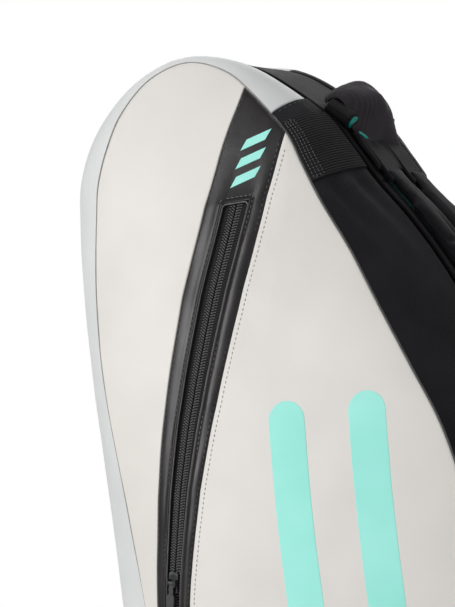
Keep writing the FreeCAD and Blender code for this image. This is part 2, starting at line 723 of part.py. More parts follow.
def all_pieces():
    """Every piece of the bag, by name."""
    nodes = core_pieces()
    both = {**shell_pieces(), **strap_pieces()}
    strap, grip = carry_handle()
    both["carry_handle"] = strap
    for name, shape in both.items():
        nodes[f"front_{name}"] = shape
        nodes[f"rear_{name}"] = rear(shape)
    nodes["handle_grip"] = grip
    window = pocket_window(-4.0, 6.0, WINDOW_SHARE)
    nodes["front_cross_strip"] = nodes["front_cross_strip"].cut(window)
    nodes.update(pocket_pieces())
    nodes.update(slider_pieces())
    return nodes


def write_parts():
    os.makedirs("parts", exist_ok=True)
    for name, shape in all_pieces().items():
        shape.exportStep(os.path.join("parts", f"{name}.step"))


if __name__ == "__main__":
    write_parts()
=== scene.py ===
import math
import random

import bmesh
import bpy
import numpy as np
from mathutils import Matrix, Vector


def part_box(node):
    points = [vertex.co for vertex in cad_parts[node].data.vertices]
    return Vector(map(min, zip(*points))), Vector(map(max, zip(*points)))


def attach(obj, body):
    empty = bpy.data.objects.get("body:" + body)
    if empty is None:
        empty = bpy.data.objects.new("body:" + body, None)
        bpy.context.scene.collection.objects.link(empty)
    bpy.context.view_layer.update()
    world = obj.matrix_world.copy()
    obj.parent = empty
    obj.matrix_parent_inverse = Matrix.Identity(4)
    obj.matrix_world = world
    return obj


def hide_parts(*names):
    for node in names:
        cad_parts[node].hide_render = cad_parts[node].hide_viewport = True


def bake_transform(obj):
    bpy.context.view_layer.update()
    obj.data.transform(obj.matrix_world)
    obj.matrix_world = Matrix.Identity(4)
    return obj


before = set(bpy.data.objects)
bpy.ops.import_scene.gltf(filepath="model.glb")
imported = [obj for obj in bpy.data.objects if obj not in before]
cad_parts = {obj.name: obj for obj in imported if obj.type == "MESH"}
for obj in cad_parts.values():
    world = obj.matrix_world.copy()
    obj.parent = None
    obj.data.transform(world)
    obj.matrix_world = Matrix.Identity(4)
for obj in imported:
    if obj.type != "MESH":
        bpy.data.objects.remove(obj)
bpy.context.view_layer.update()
random.seed(7)

# All lengths are in metres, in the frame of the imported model: +Z up from the base to the head end,
# +X towards the carry handles and straps, -Y towards the shell with the zipped pocket.

MM = 0.001
ZIP_PLANE = 52.0 * MM
TAPE_EDGE = 41.5 * MM
ZIP_LINE = 46.5 * MM
LIFT = 4.6 * MM
END_DEPTH = 26.0 * MM
MIDDLE_DEPTH = 80.0 * MM
CROWN = 15.0 * MM
RIM_BULGE = 4.0 * MM
BULGE_FROM_Z = 90.0 * MM
BAG_TOP = 769.0 * MM
PANEL_CENTRE = (25.0 * MM, 385.0 * MM)

UNDERSIDE_X = -132.0
HEAD_CENTRE = (-23.0, 663.0)
HEAD_RADIUS = 106.0
MIDDLE_Z = 385.0
UPPER_ARC_X = -244.0
UPPER_ARC_R = 450.0
LOWER_ARC_R = 760.0
LOWER_ARC_X = UPPER_ARC_X + UPPER_ARC_R - LOWER_ARC_R
BASE_HALF = 98.0

# Pocket strip: height, centre and half width, in millimetres
STRIP = [
    (14.0, -62.0, 13.0), (110.0, -61.5, 13.0), (200.0, -59.0, 13.0), (290.0, -54.0, 13.4),
    (376.0, -45.5, 14.9), (454.0, -29.6, 18.6), (515.0, -13.3, 21.8), (592.0, 9.2, 25.0),
    (656.0, 29.6, 24.8), (700.0, 44.0, 24.4), (745.0, 60.0, 24.0),
]
WINDOW_LOW_Z = 370.0 * MM
WINDOW_HIGH_Z = 654.0 * MM
WINDOW_SHARE = 0.38
STRIP_RIGHT = 0.90


# ------------------------------------------------------------------ curves of the bag
def spline(points, t, closed=False):
    """Smooth curve through the points, at an array of positions t that count the points."""
    points = np.asarray(points, float)
    t = np.atleast_1d(np.asarray(t, float))
    count = len(points)
    first = np.floor(t).astype(int)
    if not closed:
        first = np.clip(first, 0, count - 2)
    f = (t - first)[:, None]
    near = []
    for k in (-1, 0, 1, 2):
        index = (first + k) % count if closed else np.clip(first + k, 0, count - 1)
        near.append(points[index])
    weights = (
        f * (-0.5 + f * (1 - 0.5 * f)),
        1 + f * f * (-2.5 + 1.5 * f),
        f * (0.5 + f * (2 - 1.5 * f)),
        f * f * (-0.5 + 0.5 * f),
    )
    return sum(w * p for w, p in zip(weights, near))


def arc_x(z):
    """The handle side's X at a height, both in millimetres."""
    radius, centre = (UPPER_ARC_R, UPPER_ARC_X) if z > MIDDLE_Z else (LOWER_ARC_R, LOWER_ARC_X)
    return centre + math.sqrt(radius**2 - (z - MIDDLE_Z) ** 2)


def stations():
    """Outline X, Z and rim width at each station, in millimetres."""
    found = [(-BASE_HALF, 0.0, 14.0), (-118.0, 7.0, 22.0), (-129.0, 26.0, 30.0)]
    underside = [(60, 40), (110, 48), (180, 54), (270, 59), (360, 60), (450, 53), (540, 43), (605, 41)]
    found += [(UNDERSIDE_X, float(z), float(inset)) for z, inset in underside]
    head = [(179, 41), (160, 39), (140, 33), (121, 22), (102, 10), (84, 4), (65, 7), (47, 12)]
    for degrees, inset in head:
        turn = math.radians(degrees)
        x = HEAD_CENTRE[0] + HEAD_RADIUS * math.cos(turn)
        found.append((x, HEAD_CENTRE[1] + HEAD_RADIUS * math.sin(turn), float(inset)))
    found += [(80.0, 712.0, 18.0), (97.0, 686.0, 22.0)]
    handle = [(660, 25), (625, 30), (585, 34), (535, 33), (485, 27), (435, 24), (385, 24)]
    handle += [(325, 24), (265, 24), (205, 26), (150, 27), (100, 27)]
    found += [(arc_x(z), float(z), float(inset)) for z, inset in handle]
    found += [(133.0, 52.0, 25.0), (120.0, 16.0, 20.0), (BASE_HALF, 0.0, 14.0), (72.0, 0.0, 12.0)]
    found += [(24.0, 0.0, 12.0), (-24.0, 0.0, 12.0), (-72.0, 0.0, 12.0)]
    return np.array([(x, z + LIFT / MM * (z < 60), inset) for x, z, inset in found])


def measure_ring():
    """Table of the outline and the seam against the distance round the bag, in metres."""
    ring = stations()
    along = np.roll(ring[:, :2], -1, 0) - np.roll(ring[:, :2], 1, 0)
    along /= np.linalg.norm(along, axis=1)[:, None]
    inset = ring[:, 2:]
    seam = ring[:, :2] + np.hstack([along[:, 1:] * inset, -along[:, :1] * inset])
    both = np.hstack([ring[:, :2], seam]) * MM
    fine = spline(both, np.arange(0, len(ring) + 1e-9, 1 / 48), True)
    steps = np.linalg.norm(np.diff(fine[:, :2], axis=0), axis=1)
    return np.concatenate([[0], np.cumsum(steps)]), fine


RING_S, RING = measure_ring()
PERIMETER = RING_S[-1]


def ring_at(s):
    """Outline X, Z and seam X, Z at an array of distances round the bag."""
    s = np.mod(s, PERIMETER)
    return np.stack([np.interp(s, RING_S, RING[:, k]) for k in range(4)], -1)


def ring_near(x, z):
    """Distance round the bag of the outline point nearest to X, Z in millimetres."""
    return RING_S[np.argmin(np.hypot(RING[:-1, 0] - x * MM, RING[:-1, 1] - z * MM))]


def handle_side(z):
    """Distance round the bag of the handle side's point at a height in millimetres."""
    return ring_near(arc_x(z), z)


def outward(s):
    """The outline's outward normals at an array of distances s."""
    along = ring_at(s + 1.5 * MM)[..., :2] - ring_at(s - 1.5 * MM)[..., :2]
    along /= np.linalg.norm(along, axis=-1)[..., None]
    zero = np.zeros(along.shape[:-1])
    return np.stack([-along[..., 1], zero, along[..., 0]], -1)


def depth_at(z):
    share = np.clip(z / BAG_TOP, 0, 1)
    return END_DEPTH + (MIDDLE_DEPTH - END_DEPTH) * np.sin(math.pi * share) ** 0.8


WAVES = []
wave_random = random.Random(11)
for _ in range(24):
    direction = Vector([wave_random.gauss(0, 1) for _ in range(3)]).normalized()
    WAVES.append((*direction, wave_random.uniform(0.7, 1.5), wave_random.uniform(0, 6.28)))


def ripple(p, length, first=0, count=6):
    """Gentle uneven waves at points p, between about -1 and 1."""
    total = np.zeros(p.shape[:-1])
    for x, y, z, pace, phase in WAVES[first:first + count]:
        total += np.sin((p[..., 0] * x + p[..., 1] * y + p[..., 2] * z) * 6.283 * pace / length + phase)
    return total / count * 1.6


def on_wall(s, w, lift=0.0):
    """Point of the front shell's side wall: w is 0 at the zip edge and 1 at the panel seam."""
    ring = ring_at(s)
    normal = outward(s)
    inset = np.hypot(ring[..., 2] - ring[..., 0], ring[..., 3] - ring[..., 1])
    depth = depth_at(ring[..., 3])
    slant = np.hypot(inset, depth)
    face = np.stack([normal[..., 0] * depth, -inset, normal[..., 2] * depth], -1) / slant[..., None]
    point = np.stack([
        ring[..., 0] + (ring[..., 2] - ring[..., 0]) * w,
        -ZIP_PLANE - depth * w,
        ring[..., 1] + (ring[..., 3] - ring[..., 1]) * w,
    ], -1)
    bulge = RIM_BULGE * np.minimum(ring[..., 3] / BULGE_FROM_Z, 1.0)
    return point + face * (bulge * 4 * w * (1 - w) + lift)[..., None]


def on_gusset(s, y, lift=0.0):
    """Point of a belt round the outline."""
    ring = ring_at(s)
    point = np.stack([ring[..., 0], y + 0 * s, ring[..., 1]], -1)
    return point + outward(s) * (lift + 0 * s)[..., None]


def seam_table():
    dx = RING[:-1, 2] - PANEL_CENTRE[0]
    dz = RING[:-1, 3] - PANEL_CENTRE[1]
    turn = np.arctan2(dz, dx)
    order = np.argsort(turn)
    return turn[order], np.hypot(dx, dz)[order]


SEAM_TURN, SEAM_RADIUS = seam_table()


def crown_at(x, z):
    dx = x - PANEL_CENTRE[0]
    dz = z - PANEL_CENTRE[1]
    radius = np.interp(np.arctan2(dz, dx), SEAM_TURN, SEAM_RADIUS, period=2 * math.pi)
    reach = np.minimum(np.hypot(dx, dz) / radius, 1.0)
    return CROWN * (1 - reach**2) ** 0.8


def on_panel(x, z, lift=0.0):
    """Point of the front shell's side panel."""
    flat = np.stack([x, 0 * x, z], -1)
    sag = 0.7 * MM * ripple(flat, 0.16) + 0.25 * MM * ripple(flat, 0.05, 8)
    return np.stack([x, -ZIP_PLANE - depth_at(z) - crown_at(x, z) - sag - lift, z], -1)


def strip_at(z):
    """Centre and half width of the pocket strip at an array of heights."""
    table = np.array(STRIP) * MM
    t = np.interp(z, table[:, 0], np.arange(len(table)))
    found = spline(table[:, 1:], np.ravel(t)).reshape(np.shape(z) + (2,))
    return found[..., 0], found[..., 1]


def seam_near(x, z):
    """Distance round the bag of the seam point nearest to X, Z in millimetres."""
    return RING_S[np.argmin(np.hypot(RING[:-1, 2] - x * MM, RING[:-1, 3] - z * MM))]


def wall_width(s):
    ring = ring_at(s)
    inset = np.hypot(ring[..., 2] - ring[..., 0], ring[..., 3] - ring[..., 1])
    return np.hypot(inset, depth_at(ring[..., 3]))


# ------------------------------------------------------------------ places round the bag
S_BASE_LEFT = ring_near(-BASE_HALF, LIFT / MM)
S_UNDERSIDE_LOW = ring_near(UNDERSIDE_X, 60.0)
S_UNDERSIDE_HIGH = ring_near(UNDERSIDE_X, 605.0)
S_ZIP_START = ring_near(-100.0, 737.0)
S_HEM = ring_near(66.0, 726.0)
S_REAR_HEM = ring_near(10.0, 764.0)
S_SHOULDER = handle_side(660.0)
S_PATCH_END = ring_near(106.0, 670.0)
S_ZIP_END = ring_near(-90.0, LIFT / MM)
S_CORNER = handle_side(66.0)
SIDES = (("front", 1), ("rear", -1))


# ------------------------------------------------------------------ mesh building
def grid_faces(keep):
    """Faces of a closed slab: outer grid points come first, then the inner ones."""
    rows, columns = keep.shape
    wide = columns + 1
    inner = (rows + 1) * wide
    faces = []
    for i in range(rows):
        for j in range(columns):
            if not keep[i, j]:
                continue
            a, b = i * wide + j, i * wide + j + 1
            c, d = b + wide, a + wide
            faces.append((a, b, c, d))
            faces.append((inner + d, inner + c, inner + b, inner + a))
            if i == 0 or not keep[i - 1, j]:
                faces.append((b, a, inner + a, inner + b))
            if i == rows - 1 or not keep[i + 1, j]:
                faces.append((d, c, inner + c, inner + d))
            if j == 0 or not keep[i, j - 1]:
                faces.append((a, d, inner + d, inner + a))
            if j == columns - 1 or not keep[i, j + 1]:
                faces.append((c, b, inner + b, inner + c))
    return faces


def slab(outer, inner, uv, keep=None):
    """Mesh data of a closed sheet of cloth between two grids of points."""
    if keep is None:
        keep = np.ones((outer.shape[0] - 1, outer.shape[1] - 1), bool)
    points = np.concatenate([outer.reshape(-1, 3), inner.reshape(-1, 3)])
    flat = np.concatenate([uv.reshape(-1, 2)] * 2)
    return points, grid_faces(keep), flat


def joined(*parts):
    """One mesh's data from several."""
    points, faces, uvs, count = [], [], [], 0
    for p, f, uv in parts:
        points.append(p)
        uvs.append(uv)
        faces += [tuple(i + count for i in face) for face in f]
        count += len(p)
    return np.concatenate(points), faces, np.concatenate(uvs)


EDGE_LINES = np.array([0.0, 0.12, 0.35, 0.7, 1.2, 2.0, 3.2]) * MM


def spread(width, count):
    """Distances across a width, with fine lines near both edges for a rolled seam."""
    width = np.asarray(width, float)
    tight = np.minimum(1.0, width / (2.4 * EDGE_LINES[-1]))
    low = EDGE_LINES[:, None] * tight
    middle = np.linspace(0, 1, count + 2)[1:-1, None]
    inside = low[-1] + (width - 2 * low[-1]) * middle
    return np.concatenate([low, inside, (width - low)[::-1]])


def rolled(gap, radius):
    """How far cloth drops at a distance from its folded edge."""
    share = np.clip(1 - gap / radius, 0, 1)
    return radius * (1 - np.sqrt(1 - share**2))


def add_piece(name, body, data, material, nodes=(), side=1):
    """Makes the Blender object in place of its CAD nodes; a body given by name becomes its parent, and a body given in
    any other form is not used.
    """
    points, faces, uv = data
    mesh = bpy.data.meshes.new(name)
    mesh.from_pydata((points * (1, side, 1)).tolist(), [], faces)
    layer = mesh.uv_layers.new(name="metres")
    index = np.zeros(len(mesh.loops), int)
    mesh.loops.foreach_get("vertex_index", index)
    layer.data.foreach_set("uv", uv[index].astype(np.float32).ravel())
    tidy = bmesh.new()
    tidy.from_mesh(mesh)
    bmesh.ops.recalc_face_normals(tidy, faces=tidy.faces)
    tidy.to_mesh(mesh)
    tidy.free()
    mesh.shade_smooth()
    mesh.materials.append(material)
    piece = bpy.data.objects.new(name, mesh)
    bpy.context.scene.collection.objects.link(piece)
    if isinstance(body, str):
        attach(piece, body)
    else:
        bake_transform(piece)
    if nodes:
        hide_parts(*nodes)
    return piece


def frames(point, at, step=0.6 * MM):
    """Places, directions along, outward normals and sideways directions on a line point(d, lift)."""
    place = point(at, 0.0 * at)
    along = point(at + step, 0.0 * at) - point(at - step, 0.0 * at)
    along /= np.linalg.norm(along, axis=-1)[:, None]
    out = point(at, 0.0 * at + MM) - place
    out -= along * np.sum(out * along, -1)[:, None]
    out /= np.linalg.norm(out, axis=-1)[:, None]
    return place, along, out, np.cross(along, out)


def bead_shape():
    """Points and faces of one small capsule, two units long, wide and high."""
    points, faces = [(-1.0, 0.0, 0.0)], []
    for x, r in ((-0.82, 0.6), (-0.45, 1.0), (0.45, 1.0), (0.82, 0.6)):
        points += [(x, r * math.cos(k * math.pi / 3), r * math.sin(k * math.pi / 3)) for k in range(6)]
    points.append((1.0, 0.0, 0.0))
    for k in range(6):
        near, far = 1 + k, 1 + (k + 1) % 6
        faces.append((0, far, near))
        for ring in range(3):
            faces.append((near + 6 * ring, far + 6 * ring, far + 6 * ring + 6, near + 6 * ring + 6))
        faces.append((near + 18, far + 18, 25))
    return np.array(points), faces


BEAD_POINTS, BEAD_FACES = bead_shape()


def beads(place, along, out, side, long, high, wide):
    """Mesh data of one capsule at each place, with half sizes in metres."""
    size = BEAD_POINTS * (long, high, wide)
    points = place[:, None] + along[:, None] * size[None, :, :1]
    points = points + out[:, None] * size[None, :, 1:2] + side[:, None] * size[None, :, 2:]
    count = len(BEAD_POINTS)
    faces = [tuple(i + k * count for i in face) for k in range(len(place)) for face in BEAD_FACES]
    return points.reshape(-1, 3), faces, np.zeros((len(place) * count, 2))


def stitches(point, start, end, pitch=4.2 * MM, long=1.45 * MM, wide=0.34 * MM, lift=0.15 * MM):
    """A row of stitches along a line point(d, lift)."""
    at = np.arange(start + pitch / 2, end, pitch)
    place, along, out, side = frames(point, at)
    return beads(place + out * lift, along, out, side, long, wide, wide)


def tube(point, start, end, radius, step=3 * MM, around=10):
    """Mesh data of a round cord along a line point(d, lift)."""
    count = max(int((end - start) / step), 3)
    place, along, out, side = frames(point, np.linspace(start, end, count + 1))
    turn = np.arange(around) * 2 * math.pi / around
    scale = np.ones(count + 1)
    scale[[0, -1]] = 0.35
    circle = out[:, None] * np.cos(turn)[None, :, None] + side[:, None] * np.sin(turn)[None, :, None]
    points = (place[:, None] + circle * (radius * scale)[:, None, None]).reshape(-1, 3)
    faces = []
    for i in range(count):
        for k in range(around):
            a, b = i * around + k, i * around + (k + 1) % around
            faces.append((a, b, b + around, a + around))
    faces.append(tuple(range(around))[::-1])
    faces.append(tuple(count * around + k for k in range(around)))
    uv = np.stack([np.repeat(np.linspace(start, end, count + 1), around),
                   np.tile(turn * radius, count + 1)], -1)
    return points, faces, uv


def ribbon(point, start, end, wide, low, high, roll=0.8 * MM, step=3 * MM, count=6, ribs=None):
    """Closed strip along a line: point(d, across, lift); wide(d) is its half width."""
    steps = max(int((end - start) / step), 3)
    at = start + spread(end - start, steps)[:, 0]
    half = wide(at) if callable(wide) else 0 * at + wide
    high = high(at) if callable(high) else high
    cross = spread(2 * half, count)
    d = np.broadcast_to(at, cross.shape)
    gap = np.minimum(np.minimum(cross, 2 * half - cross), np.minimum(d - start, end - d))
    drop = rolled(gap, roll)
    lift = high - np.minimum(drop, (high - low) * 0.8)
    if ribs is not None:
        lift = lift + ribs(d, cross - half) * np.clip(gap / roll, 0, 1)
    outer = point(d, cross - half, lift)
    inner = point(d, cross - half, 0 * d + low)
    return slab(outer, inner, np.stack([cross - half, d], -1))


# ------------------------------------------------------------------ materials
class Graph:
    """Short names for building one material's nodes."""

    def __init__(self, name, roughness, coordinates="UV"):
        self.material = bpy.data.materials.new(name)
        self.material.use_nodes = True
        self.nodes = self.material.node_tree.nodes
        self.links = self.material.node_tree.links
        self.shader = self.nodes["Principled BSDF"]
        self.shader.inputs["Roughness"].default_value = roughness
        self.place = self.add("ShaderNodeTexCoord").outputs[coordinates]
        self.height = None

    def add(self, kind, **settings):
        node = self.nodes.new(kind)
        for key, value in settings.items():
            setattr(node, key, value)
        return node

    def wire(self, source, target):
        if hasattr(source, "is_output"):
            self.links.new(source, target)
        else:
            target.default_value = source

    def math(self, operation, a, b=0.0, c=0.0):
        node = self.add("ShaderNodeMath", operation=operation)
        for value, socket in zip((a, b, c), node.inputs):
            self.wire(value, socket)
        return node.outputs[0]

    def wave(self, direction, pitch):
        """Sine of the distance along a direction, with one period each pitch."""
        node = self.add("ShaderNodeVectorMath", operation="DOT_PRODUCT")
        self.wire(self.place, node.inputs[0])
        node.inputs[1].default_value = Vector(direction) * (2 * math.pi / pitch)
        return self.math("SINE", node.outputs["Value"])

    def noise(self, size, detail=2.0):
        """Smooth noise with features of about one size, from 0 to 1."""
        node = self.add("ShaderNodeTexNoise")
        self.wire(self.place, node.inputs["Vector"])
        node.inputs["Scale"].default_value = 0.5 / size
        node.inputs["Detail"].default_value = detail
        return node.outputs[0]

    def grain(self, size):
        """Leather-like cells of one size: 0 in the creases and about 1 on the pebbles."""
        node = self.add("ShaderNodeTexVoronoi", feature="SMOOTH_F1")
        self.wire(self.place, node.inputs["Vector"])
        node.inputs["Scale"].default_value = 1.0 / size
        return self.math("SUBTRACT", 1.0, node.outputs["Distance"])

    def colour(self, low, high, factor, contrast=(0.35, 0.65)):
        """Base colour that runs from low to high with a factor."""
        ramp = self.add("ShaderNodeValToRGB")
        ramp.color_ramp.elements[0].position = contrast[0]
        ramp.color_ramp.elements[1].position = contrast[1]
        ramp.color_ramp.elements[0].color = (*low, 1)
        ramp.color_ramp.elements[1].color = (*high, 1)
        self.wire(factor, ramp.inputs[0])
        return ramp.outputs[0]

    def mix(self, factor, a, b):
        node = self.add("ShaderNodeMix", data_type="RGBA")
        self.wire(factor, node.inputs[0])
        self.wire(a if hasattr(a, "is_output") else (*a, 1), node.inputs[6])
        self.wire(b if hasattr(b, "is_output") else (*b, 1), node.inputs[7])
        return node.outputs[2]

    def worn(self, colour, light, amount=0.35):
        """Lighter colour along sharp edges."""
        point = self.add("ShaderNodeNewGeometry").outputs["Pointiness"]
        edge = self.add("ShaderNodeMapRange")
        self.wire(point, edge.inputs[0])
        edge.inputs[1].default_value = 0.52
        edge.inputs[2].default_value = 0.62
        edge.inputs[4].default_value = amount
        return self.mix(edge.outputs[0], colour, light)

    def bump(self, height, depth, strength=1.0):
        """Adds a relief that is depth metres high."""
        node = self.add("ShaderNodeBump")
        node.inputs["Strength"].default_value = strength
        node.inputs["Distance"].default_value = depth
        self.wire(height, node.inputs["Height"])
        if self.height is not None:
            self.wire(self.height, node.inputs["Normal"])
        self.height = node.outputs[0]

    def done(self, colour, sheen=0.0, coat=0.0, metallic=0.0, roughness=None, specular=0.5):
        self.wire(colour, self.shader.inputs["Base Color"])
        if roughness is not None:
            self.wire(roughness, self.shader.inputs["Roughness"])
        if self.height is not None:
            self.wire(self.height, self.shader.inputs["Normal"])
        self.shader.inputs["Sheen Weight"].default_value = sheen
        self.shader.inputs["Sheen Roughness"].default_value = 0.5
        self.shader.inputs["Coat Weight"].default_value = coat
        self.shader.inputs["Coat Roughness"].default_value = 0.18
        self.shader.inputs["Metallic"].default_value = metallic
        self.shader.inputs["Specular IOR Level"].default_value = specular
        return self.material


def coated_cloth(name, low, high, roughness, grain_size, relief):
    """Smooth coated cloth: faint blotches, a fine grain and soft dents."""
    g = Graph(name, roughness, "Object")
    colour = g.colour(low, high, g.noise(0.05, 3.0), (0.3, 0.7))
    dirt = g.math("MULTIPLY", g.noise(0.012, 5.0), g.noise(0.11, 2.0))
    colour = g.mix(g.math("MULTIPLY", dirt, 0.12), colour, [c * 0.72 for c in low])
    g.bump(g.noise(0.03, 2.0), 0.0006, 0.5)
    g.bump(g.grain(grain_size), relief, 0.6)
    shine = g.math("MULTIPLY_ADD", g.noise(0.02, 4.0), 0.16, roughness - 0.08)
    return g.done(colour, sheen=0.04, roughness=shine, specular=0.4)


def woven_cloth(name, low, high, pitch, direction, relief, coordinates="UV"):
    """Cloth with a diagonal weave."""
    g = Graph(name, 0.72, coordinates)
    slant = g.wave(direction, pitch)
    cross = g.wave((direction[1], -direction[0], direction[2] * 0.6), pitch * 1.7)
    weave = g.math("MULTIPLY_ADD", cross, 0.35, g.math("MULTIPLY", slant, 0.65))
    cloudy = g.math("MULTIPLY_ADD", g.noise(0.03, 4.0), 0.5, 0.25)
    shade = g.math("MULTIPLY_ADD", weave, 0.20, cloudy)
    colour = g.colour(low, high, shade, (0.3, 0.72))
    g.bump(g.noise(0.016, 3.0), 0.0009, 0.5)
    g.bump(weave, relief, 0.7)
    return g.done(colour, sheen=0.05, specular=0.12)


def ribbed_cloth(name, low, high, pitch, relief):
    """Webbing: ribs across its length and fine threads along it."""
    g = Graph(name, 0.6, "UV")
    ribs = g.math("ABSOLUTE", g.wave((0, 1, 0), pitch * 2))
    threads = g.wave((1, 0, 0), 0.7 * MM)
    weave = g.math("MULTIPLY_ADD", threads, 0.18, ribs)
    colour = g.colour(low, high, g.math("MULTIPLY_ADD", g.noise(0.008, 3.0), 0.35, g.math("MULTIPLY", weave, 0.6)),
                      (0.15, 0.95))
    g.bump(weave, relief, 0.8)
    return g.done(colour, sheen=0.03, specular=0.16)


def satin_skin(name):
    """Black satin coated cloth with a leather grain."""
    g = Graph(name, 0.34, "Object")
    colour = g.colour((0.008, 0.0066, 0.0074), (0.016, 0.0133, 0.0146), g.noise(0.02, 4.0))
    colour = g.worn(colour, (0.08, 0.075, 0.075), 0.5)
    g.bump(g.noise(0.014, 2.0), 0.0008, 0.6)
    g.bump(g.grain(0.0011), 0.00006, 0.6)
    shine = g.math("MULTIPLY_ADD", g.noise(0.012, 4.0), 0.2, 0.26)
    return g.done(colour, coat=0.05, roughness=shine, specular=0.38)


def moulded(name, low, high, roughness, relief=0.00004, metallic=0.0):
    """Moulded plastic, rubber or painted metal, rubbed along its edges."""
    g = Graph(name, roughness, "Object")
    colour = g.worn(g.colour(low, high, g.noise(0.004, 3.0)), (0.2, 0.2, 0.2), 0.45)
    g.bump(g.noise(0.0006, 3.0), relief, 0.7)
    shine = g.math("MULTIPLY_ADD", g.noise(0.003, 4.0), 0.25, roughness - 0.1)
    return g.done(colour, metallic=metallic, roughness=shine)


def tipped_pull(name, centre, reach):
    """Rubber pull whose far end is mint; centre and reach say where the end starts."""
    g = Graph(name, 0.5, "Object")
    away = g.add("ShaderNodeVectorMath", operation="DISTANCE")
    g.wire(g.place, away.inputs[0])
    away.inputs[1].default_value = centre
    far = g.math("GREATER_THAN", away.outputs["Value"], reach)
    black = g.colour((0.012, 0.012, 0.013), (0.03, 0.03, 0.032), g.noise(0.004, 3.0))
    mint = g.colour((0.10, 0.50, 0.44), (0.16, 0.60, 0.54), g.noise(0.003, 3.0))
    g.bump(g.noise(0.0006, 3.0), 0.00005, 0.7)
    return g.done(g.mix(far, black, mint))


def knit(name, low, high, pitch):
    """Padded lining with a small dimpled knit."""
    g = Graph(name, 0.8, "Object")
    cells = g.math("MULTIPLY", g.math("MULTIPLY", g.wave((1, 0.2, 0.1), pitch), g.wave((0.1, 0.2, 1), pitch)),
                   g.wave((-0.1, 1, 0.15), pitch))
    cloudy = g.math("MULTIPLY_ADD", g.noise(0.02, 3.0), 0.4, 0.3)
    colour = g.colour(low, high, g.math("MULTIPLY_ADD", cells, 0.3, cloudy), (0.2, 0.8))
    g.bump(cells, 0.0003, 0.8)
    return g.done(colour, sheen=0.3, specular=0.2)


def print_film(name, low, high):
    """Printed mint film with a slight mottle and pinholes of wear."""
    g = Graph(name, 0.42, "Object")
    colour = g.colour(low, high, g.noise(0.03, 4.0))
    pits = g.math("GREATER_THAN", g.noise(0.0016, 5.0), 0.74)
    colour = g.mix(g.math("MULTIPLY", pits, 0.25), colour, (0.6, 0.6, 0.58))
    g.bump(g.grain(0.0012), 0.00003, 0.5)
    return g.done(colour, specular=0.4)


LIGHT = coated_cloth("coated_light", (0.69, 0.665, 0.63), (0.76, 0.735, 0.70), 0.46, 0.0009, 0.00004)
RIM = coated_cloth("rim_light", (0.68, 0.69, 0.69), (0.75, 0.765, 0.765), 0.5, 0.0007, 0.00006)
BAND = woven_cloth("band_black", (0.0015, 0.0012, 0.002), (0.021, 0.0185, 0.023), 0.95 * MM, (0.8, 0.6, 0), 0.00014)
SKIN = satin_skin("strip_black")
WEBBING = ribbed_cloth("webbing_black", (0.001, 0.001, 0.0012), (0.014, 0.013, 0.0155), 1.75 * MM, 0.0004)
TAPE = ribbed_cloth("zip_tape_black", (0.003, 0.003, 0.0032), (0.022, 0.0225, 0.023), 1.9 * MM, 0.0003)
COIL = moulded("coil_black", (0.007, 0.007, 0.0075), (0.02, 0.02, 0.021), 0.4)
MAIN_COIL = moulded("main_coil_black", (0.002, 0.002, 0.0022), (0.006, 0.006, 0.0064), 0.6)
THREAD_DARK = moulded("thread_black", (0.02, 0.02, 0.021), (0.06, 0.06, 0.062), 0.7)
THREAD_GREY = moulded("thread_grey", (0.33, 0.33, 0.33), (0.5, 0.49, 0.48), 0.75)
THREAD_MID = moulded("thread_mid", (0.09, 0.09, 0.09), (0.17, 0.17, 0.17), 0.75)
CORD_PALE = moulded("cord_pale", (0.26, 0.24, 0.22), (0.36, 0.34, 0.32), 0.6)
LIP = moulded("lip_black", (0.05, 0.048, 0.05), (0.09, 0.086, 0.088), 0.3)
SLIDER = moulded("slider_black", (0.012, 0.012, 0.013), (0.03, 0.03, 0.032), 0.36, metallic=0.6)
FITTING = moulded("fitting_black", (0.010, 0.010, 0.011), (0.022, 0.022, 0.024), 0.3)
RINGS = moulded("ring_metal", (0.014, 0.014, 0.015), (0.03, 0.03, 0.032), 0.34, metallic=0.7)
BASE = moulded("base_black", (0.012, 0.012, 0.012), (0.035, 0.034, 0.034), 0.6, 0.0002)
BOARD = moulded("board_grey", (0.10, 0.10, 0.10), (0.16, 0.16, 0.155), 0.7, 0.0001)
LINING = knit("lining_grey", (0.11, 0.115, 0.12), (0.17, 0.175, 0.18), 2.4 * MM)
TEAL = knit("lining_teal", (0.002, 0.06, 0.05), (0.004, 0.12, 0.10), 2.2 * MM)
TEAL_TRIM = coated_cloth("teal_trim", (0.004, 0.26, 0.22), (0.01, 0.36, 0.31), 0.45, 0.0006, 0.00004)
PAD = woven_cloth("pad_black", (0.0025, 0.002, 0.0028), (0.013, 0.011, 0.0145), 1.1 * MM, (0.6, 0.5, 0.62), 0.00012,
                  coordinates="Object")
# Brighter copy of the black pad cloth for the grab handle's hood: painted light that stands in for the light falling
# on the hood's top.
PAD_PAINTED_LIGHT = woven_cloth("hood_black_painted_light", (0.015, 0.0125, 0.015), (0.042, 0.036, 0.042), 1.1 * MM, (0.6, 0.5, 0.62), 0.00012,
                      coordinates="Object")
NET = moulded("mesh_black", (0.012, 0.012, 0.012), (0.03, 0.03, 0.03), 0.7)
MINT = print_film("mint_print", (0.30, 0.80, 0.70), (0.36, 0.86, 0.77))


# ------------------------------------------------------------------ side shells
WALL_THICK = 2.4 * MM
PANEL_THICK = 1.5 * MM
SEAM_ROLL = 1.5 * MM


def seam_point(s, lift):
    """Point on the seam between a side wall and its panel."""
    ring = ring_at(s)
    return np.stack([ring[..., 2], -ZIP_PLANE - depth_at(ring[..., 3]) - lift, ring[..., 3]], -1)


def seam_line(start, end, inset):
    """X, Z of the seam at shares of the way from s = start to end, a little inside it."""
    def edge(b):
        s = start + (end - start) * b
        return ring_at(s)[..., 2:] - outward(s)[..., [0, 2]] * inset
    return edge


def strip_line(k, low, high):
    """X, Z along the pocket strip; k runs from -1 at its left edge to 1 at its right edge."""
    def edge(b):
        z = low + (high - low) * b
        centre, half = strip_at(z)
        return np.stack([centre + k * half, z], -1)
    return edge


